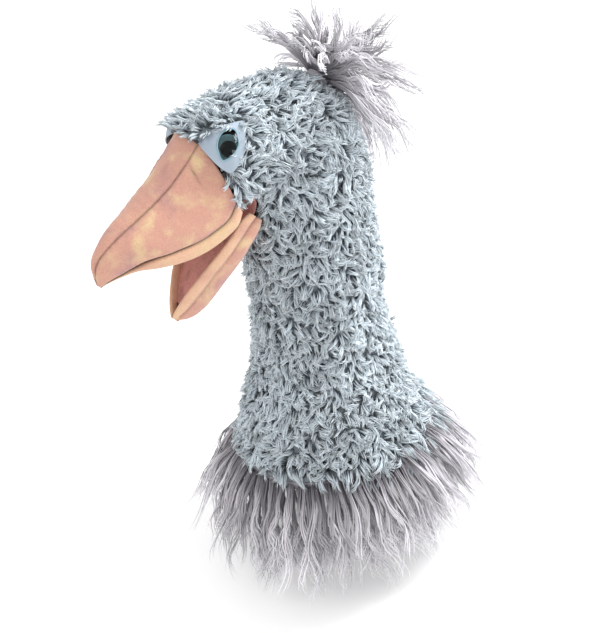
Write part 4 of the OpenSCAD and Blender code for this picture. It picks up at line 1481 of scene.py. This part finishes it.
class PUPPET_OT_fillings(bpy.types.Operator):
    """Stuffing, padding, finger pockets and mouth boards inside the head and beak"""
    bl_idname = "puppet.fillings"
    bl_label = "Fillings"

    def execute(self, context):
        self.upper_filling()
        self.lower_filling()
        self.pad()
        self.pocket("finger_pocket_cloth", "finger_pocket", "upper_beak", self.finger_place, 70, 13, 10, 6, 8)
        self.pocket("thumb_pocket_cloth", "thumb_pocket", "lower_beak", self.thumb_place, 64, 8, 6, 4, 5)
        for node in ("upper_mouth_board", "lower_mouth_board"):
            give_material(frame["nodes"][node], finish("Mouth board"))
        return {"FINISHED"}

    def wad(self, name, rings, node, body, fill):
        """A lump of wadding through its rings, a little uneven."""
        rings = np.asarray(rings, float)
        middle = rings.mean(1, keepdims=True)
        rings = middle + (rings - middle) * (1 + 0.03 * ripple(rings, 12, 9))[..., None]
        piece = tube(name, rings, marks=np.zeros((rings.shape[0] * rings.shape[1], 3)))
        fit(piece, "Wadding", "stuffing", body, node)

    def upper_filling(self):
        """Wadding inside the upper beak."""
        beak = UpperBeak(60)
        turn = np.linspace(0, 2 * math.pi, 40, endpoint=False)
        rings = []
        for n in range(0, 48):
            top, seam = beak.top[n], beak.seam[n]
            height, width = (top[2] - seam[2]) / 2, max(1.0, (top[0] + seam[0]) / 2 - 6)
            centre = np.array([0, (top[1] + seam[1]) / 2, (top[2] + seam[2]) / 2 + 3])
            lean = (top[1] - seam[1]) / max(top[2] - seam[2], 1)
            z = max(1.0, height - 5.5) * np.sin(turn)
            rings.append(centre + np.stack([width * np.cos(turn), lean * z, z], -1))
        self.wad("upper_beak_wadding", rings, "upper_stuffing", "upper_beak", 0.85)

    def lower_filling(self):
        """Wadding inside the lower beak."""
        beak = LowerBeak(60)
        turn = np.linspace(0, 2 * math.pi, 32, endpoint=False)
        rings = []
        for n in range(2, 44):
            width = max(1.0, (beak.width[n] + beak.keel_width[n]) / 2 - 5)
            low, high = beak.keel[n] + 4, beak.lip[n] - 9.6
            z = (low + high) / 2 + max(0.8, (high - low) / 2) * np.sin(turn)
            rings.append(jaw_place(np.stack([width * np.cos(turn), beak.y[n] + 0 * turn, z], -1)))
        self.wad("lower_beak_wadding", rings, "lower_stuffing", "lower_beak", 0.8)

    def pad(self):
        """A thin pad of wadding that rounds the crown."""
        columns, rows = 36, 24
        low = neck_to_skin(NOD_TO) + 40
        v = np.linspace(low, SKIN_END - 38, rows)[:, None] * np.ones((1, columns))
        around = np.linspace(math.pi * 0.8, math.pi * 1.2, columns)[None, :] * np.ones((rows, 1))
        outer, inner = skin(v, around, 13.2), skin(v, around, 19)
        piece = outward(shell("crown_wadding", outer, inner, marks=np.zeros((rows, columns, 3))))
        fit(piece, "Wadding", "stuffing", "head", "head_padding")

    def finger_place(self, p):
        """From the finger pocket's own frame into the upper beak."""
        c, s = math.cos(math.radians(14)), math.sin(math.radians(14))
        y = p[..., 1] * c - p[..., 2] * s - 40
        z = p[..., 1] * s + p[..., 2] * c + 306
        return np.stack([p[..., 0], y, z], -1)

    def thumb_place(self, p):
        """From the thumb pocket's own frame into the lower beak."""
        return jaw_place(p + np.array([0, 6.0, -12.5]))

    def pocket(self, name, node, body, place_in, length, w0, r0, w1, r1):
        """A flat pouch of lining cloth, open at the back."""
        turn = np.linspace(0, 2 * math.pi, 48, endpoint=False)

        def ring(t, grow):
            """One turn of the pouch's wall, closed in a round end."""
            radius = r0 + (r1 - r0) * t + grow
            width = w0 + (w1 - w0) * t + radius
            close = math.sqrt(max(1e-4, 1 - max(0, (t - POUCH_STRAIGHT) / 0.145) ** 2))
            return np.stack([width * np.cos(turn) * close, -3 - length * t + 0 * turn,
                             radius * np.sin(turn) * close], -1)

        rounded = POUCH_STRAIGHT + 0.14 * np.sin(np.linspace(0.15, 1, 8) * math.pi / 2)
        stops = np.concatenate([np.linspace(0, POUCH_STRAIGHT, 14), rounded])
        outer = np.array([place_in(ring(t, 1.3)) for t in stops])
        inner = np.array([place_in(ring(t * 0.985, 0.2)) for t in stops])
        piece = outward(shell(name, outer, inner, wrap=True))
        fit(piece, "Lining cloth", "lining_fabric", body, node)


# ---------- eyes ----------

class PUPPET_OT_eyes(bpy.types.Operator):
    """Fabric patches, felt backings and the plastic eyes behind their windows"""
    bl_idname = "puppet.eyes"
    bl_label = "Eyes"

    def execute(self, context):
        for side in ("left", "right"):
            self.patch(side)
            self.binding(side)
            self.felt(side)
        self.plastics()
        return {"FINISHED"}

    def outline(self, corners, count):
        """A smooth closed outline through corner points."""
        ring = np.array(corners[-2:] + corners + corners[:3], float)
        at = np.linspace(2, 2 + len(corners), count + 1)[:-1]
        return curve_through(np.arange(len(ring)), ring, at)

    def dome(self, q, lift=0.0):
        """Height over the eye's plane: raised round the window and sunk into the pile at the edge."""
        away = np.linalg.norm(q, axis=-1)
        return 0.9 - away ** 2 / 95 + 1.3 * np.exp(-(away / 13) ** 2) + lift \
            - 1.5 * np.clip((away - 12) / 8, 0, 1.5) ** 2

    def put(self, q, height, side):
        """Points of the eye's frame, in the puppet's, on either side."""
        local = np.concatenate([q, height[..., None]], -1)
        place_at = EYE_AT * (1 if side == "left" else np.array([-1, 1, 1]))
        return local @ eye_axes(side) + place_at

    def patch(self, side):
        count, rows = 96, 16
        window, edge = self.outline(WINDOW, count), self.outline(PATCH, count)
        start = np.argmin(np.linalg.norm(edge - window[0] * 1.35, axis=1))
        edge = np.roll(edge, -start, axis=0)
        t = np.linspace(0, 1, rows)[:, None, None]
        q = window[None] * (1 - t) + edge[None] * t
        height = self.dome(q)
        outer, inner = self.put(q, height, side), self.put(q, height - 1.1, side)
        # Painted shade along the window's edge, where the patch meets its binding.
        fade = np.exp(-(np.linspace(0, 1, rows) / 0.08) ** 2)[:, None, None]
        marks = fade * 0.3 * np.ones((rows, count, 3))
        piece = outward(shell(f"eye_patch_cloth_{side}", outer, inner, wrap=True, marks=marks))
        fit(piece, "Eye patch cloth", "eye_patch_fabric", "head", f"eye_patch_{side}")
        cloth(piece)

    def binding(self, side):
        """The pale cut edge round the window."""
        window = self.outline(WINDOW, 96)
        path = self.put(window, self.dome(window, 0.05), side)
        ahead = unit(np.roll(path, -1, 0) - np.roll(path, 1, 0))
        out = np.tile(eye_axes(side)[2], (96, 1))
        across = unit(np.cross(ahead, out))
        a = np.linspace(0, 2 * math.pi, 10, endpoint=False)
        rings = path[:, None, :] + 0.55 * (np.cos(a)[None, :, None] * across[:, None, :]
                                           + np.sin(a)[None, :, None] * out[:, None, :])
        piece = tube(f"eye_window_edge_{side}", rings, closed=True)
        fit(piece, "Window edge", "eye_patch_fabric", "head")

    def felt(self, side):
        """The black felt cup behind the eye."""
        radius = np.array([3.0, 7, 9.5, 11.6, 13, 13.8])
        height = np.array([-5.8, -5.8, -5.5, -4.8, -4.0, -3.4])
        a = np.linspace(0, 2 * math.pi, 64, endpoint=False)
        circle = np.stack([np.cos(a), np.sin(a)], -1)
        q = radius[:, None, None] * circle[None]
        level = height[:, None] * np.ones((1, 64))
        outer, inner = self.put(q, level, side), self.put(q, level - 1.2, side)
        piece = outward(shell(f"eye_felt_{side}", outer, inner, wrap=True,
                              marks=np.zeros((len(radius), 64, 3))))
        fit(piece, "Black felt", "black_felt", "head", f"eye_backing_{side}")

    def plastics(self):
        """Finishes of the moulded eyes and their clear domes."""
        finish("Pupil plastic").node_tree.nodes["Principled BSDF"].inputs[SPECULAR].default_value = 0.0
        lens, _, shader = start_material("Clear lens", 0.02)
        shader.inputs["Base Color"].default_value = (0.02, 0.03, 0.03, 1)
        shader.inputs["Alpha"].default_value = 0.1
        shader.inputs[SPECULAR].default_value = 1.0
        for side in ("left", "right"):
            give_material(frame["nodes"][f"eye_lens_{side}"], lens)
            for node in ("iris", "pupil", "washer"):
                give_material(frame["nodes"][f"eye_{node}_{side}"], finish(f"{node.capitalize()} plastic"))


# ---------- stage ----------

class PUPPET_OT_stage(bpy.types.Operator):
    """Pale floor, soft studio lights and the camera"""
    bl_idname = "puppet.stage"
    bl_label = "Stage"

    def execute(self, context):
        scene, s = context.scene, context.scene.puppet_stage
        self.floor(s)
        world = bpy.data.worlds.new("Studio")
        world.use_nodes = True
        world.node_tree.nodes["Background"].inputs["Color"].default_value = (1, 1, 1, 1)
        world.node_tree.nodes["Background"].inputs["Strength"].default_value = s.fill
        scene.world = world
        scene.view_settings.view_transform = "Standard"
        right, up, back = self.camera(scene, s)
        aim = Vector((0.0, 0.02, 0.18))
        self.softbox("Key softbox", aim + 1.1 * right + 1.15 * up + 0.35 * back, aim, 0.8, s.key)
        self.softbox("Front softbox", aim - 0.9 * right + 0.5 * up + 1.1 * back, aim, 0.9, s.key * 0.15)
        return {"FINISHED"}

    def floor(self, s):
        """Pale floor under the lowest point."""
        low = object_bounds()[0].z / MM - s.floor_gap / MM
        corners = ((-1, -1), (1, -1), (1, 1), (-1, 1))
        points = np.array([[x * FLOOR_REACH, y * FLOOR_REACH, low] for x, y in corners])
        floor = make_mesh("floor", points, [np.array([[0, 1, 2, 3]])])
        material, tree, shader = start_material("Pale floor", 0.95)
        shade = noise(tree, 3, 2)
        tone = mixed(tree, shade, (0.93, 0.93, 0.93), (0.96, 0.96, 0.96))
        tree.links.new(tone, shader.inputs["Base Color"])
        shader.inputs[SPECULAR].default_value = 0.1
        shader.inputs["Emission Color"].default_value = (1, 1, 1, 1)
        shader.inputs["Emission Strength"].default_value = 0.2
        floor.data.materials.append(material)
        floor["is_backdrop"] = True

    def softbox(self, name, place_at, aim, size, power):
        """Round area light turned to its aim."""
        light = bpy.data.lights.new(name, "AREA")
        light.shape, light.size, light.energy = "DISK", size, power
        lamp = bpy.data.objects.new(name, light)
        lamp.location = place_at
        lamp.rotation_euler = (aim - lamp.location).to_track_quat("-Z", "Y").to_euler()
        bpy.context.scene.collection.objects.link(lamp)

    def camera(self, scene, s):
        """Camera on a sphere round the puppet's middle, turned about its own view."""
        level = Vector((math.cos(s.azimuth), math.sin(s.azimuth), 0))
        back = Vector((math.sin(s.azimuth) * math.cos(s.elevation),
                       -math.cos(s.azimuth) * math.cos(s.elevation), math.sin(s.elevation)))
        middle = Vector((0, 0, 0.170))
        aim = Vector((0.0197, -0.0054, 0.1395))
        place_at = middle + back * s.distance
        back = (place_at - aim).normalized()
        level = (level - back * level.dot(back)).normalized()
        lift = back.cross(level)
        right = level * math.cos(s.roll) - lift * math.sin(s.roll)
        up = level * math.sin(s.roll) + lift * math.cos(s.roll)
        data = bpy.data.cameras.new("Camera")
        data.lens, data.sensor_width = s.lens, 36
        camera = bpy.data.objects.new("Camera", data)
        axes = Matrix((right, up, back)).transposed().to_4x4()
        camera.matrix_world = Matrix.Translation(place_at) @ axes
        scene.collection.objects.link(camera)
        scene.camera = camera
        return right, up, back


class PUPPET_PT_panel(bpy.types.Panel):
    """Settings and builders of the puppet"""
    bl_idname = "PUPPET_PT_panel"
    bl_label = "Plush Bird Puppet"
    bl_space_type = "VIEW_3D"
    bl_region_type = "UI"
    bl_category = "Puppet"

    def draw(self, context):
        for key in GROUPS:
            box = self.layout.box()
            settings = getattr(context.scene, key)
            for name in settings.__annotations__:
                box.prop(settings, name)
        for operator in OPERATORS:
            self.layout.operator(operator.bl_idname)


GROUPS = {"puppet_plush": PlushSettings, "puppet_shag": ShagSettings, "puppet_beak": BeakSettings,
          "puppet_eyes": EyeSettings, "puppet_stage": StageSettings}
OPERATORS = [PUPPET_OT_plush, PUPPET_OT_linings, PUPPET_OT_hem, PUPPET_OT_crest, PUPPET_OT_upper_beak,
             PUPPET_OT_lower_beak, PUPPET_OT_mouth, PUPPET_OT_fillings, PUPPET_OT_eyes, PUPPET_OT_stage]


def register():
    for group in GROUPS.values():
        bpy.utils.register_class(group)
    for key, group in GROUPS.items():
        setattr(bpy.types.Scene, key, bpy.props.PointerProperty(type=group))
    for operator in [*OPERATORS, PUPPET_PT_panel]:
        bpy.utils.register_class(operator)


def unregister():
    for operator in [*OPERATORS, PUPPET_PT_panel]:
        bpy.utils.unregister_class(operator)
    for key, group in GROUPS.items():
        delattr(bpy.types.Scene, key)
        bpy.utils.unregister_class(group)


def main():
    """Makes every piece and the stage."""
    register()
    bpy.ops.puppet.linings()
    bpy.ops.puppet.plush()
    bpy.ops.puppet.hem()
    bpy.ops.puppet.crest()
    bpy.ops.puppet.upper_beak()
    bpy.ops.puppet.lower_beak()
    bpy.ops.puppet.mouth()
    bpy.ops.puppet.fillings()
    bpy.ops.puppet.eyes()
    bpy.ops.puppet.stage()
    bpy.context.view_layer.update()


if __name__ == "__main__":
    main()
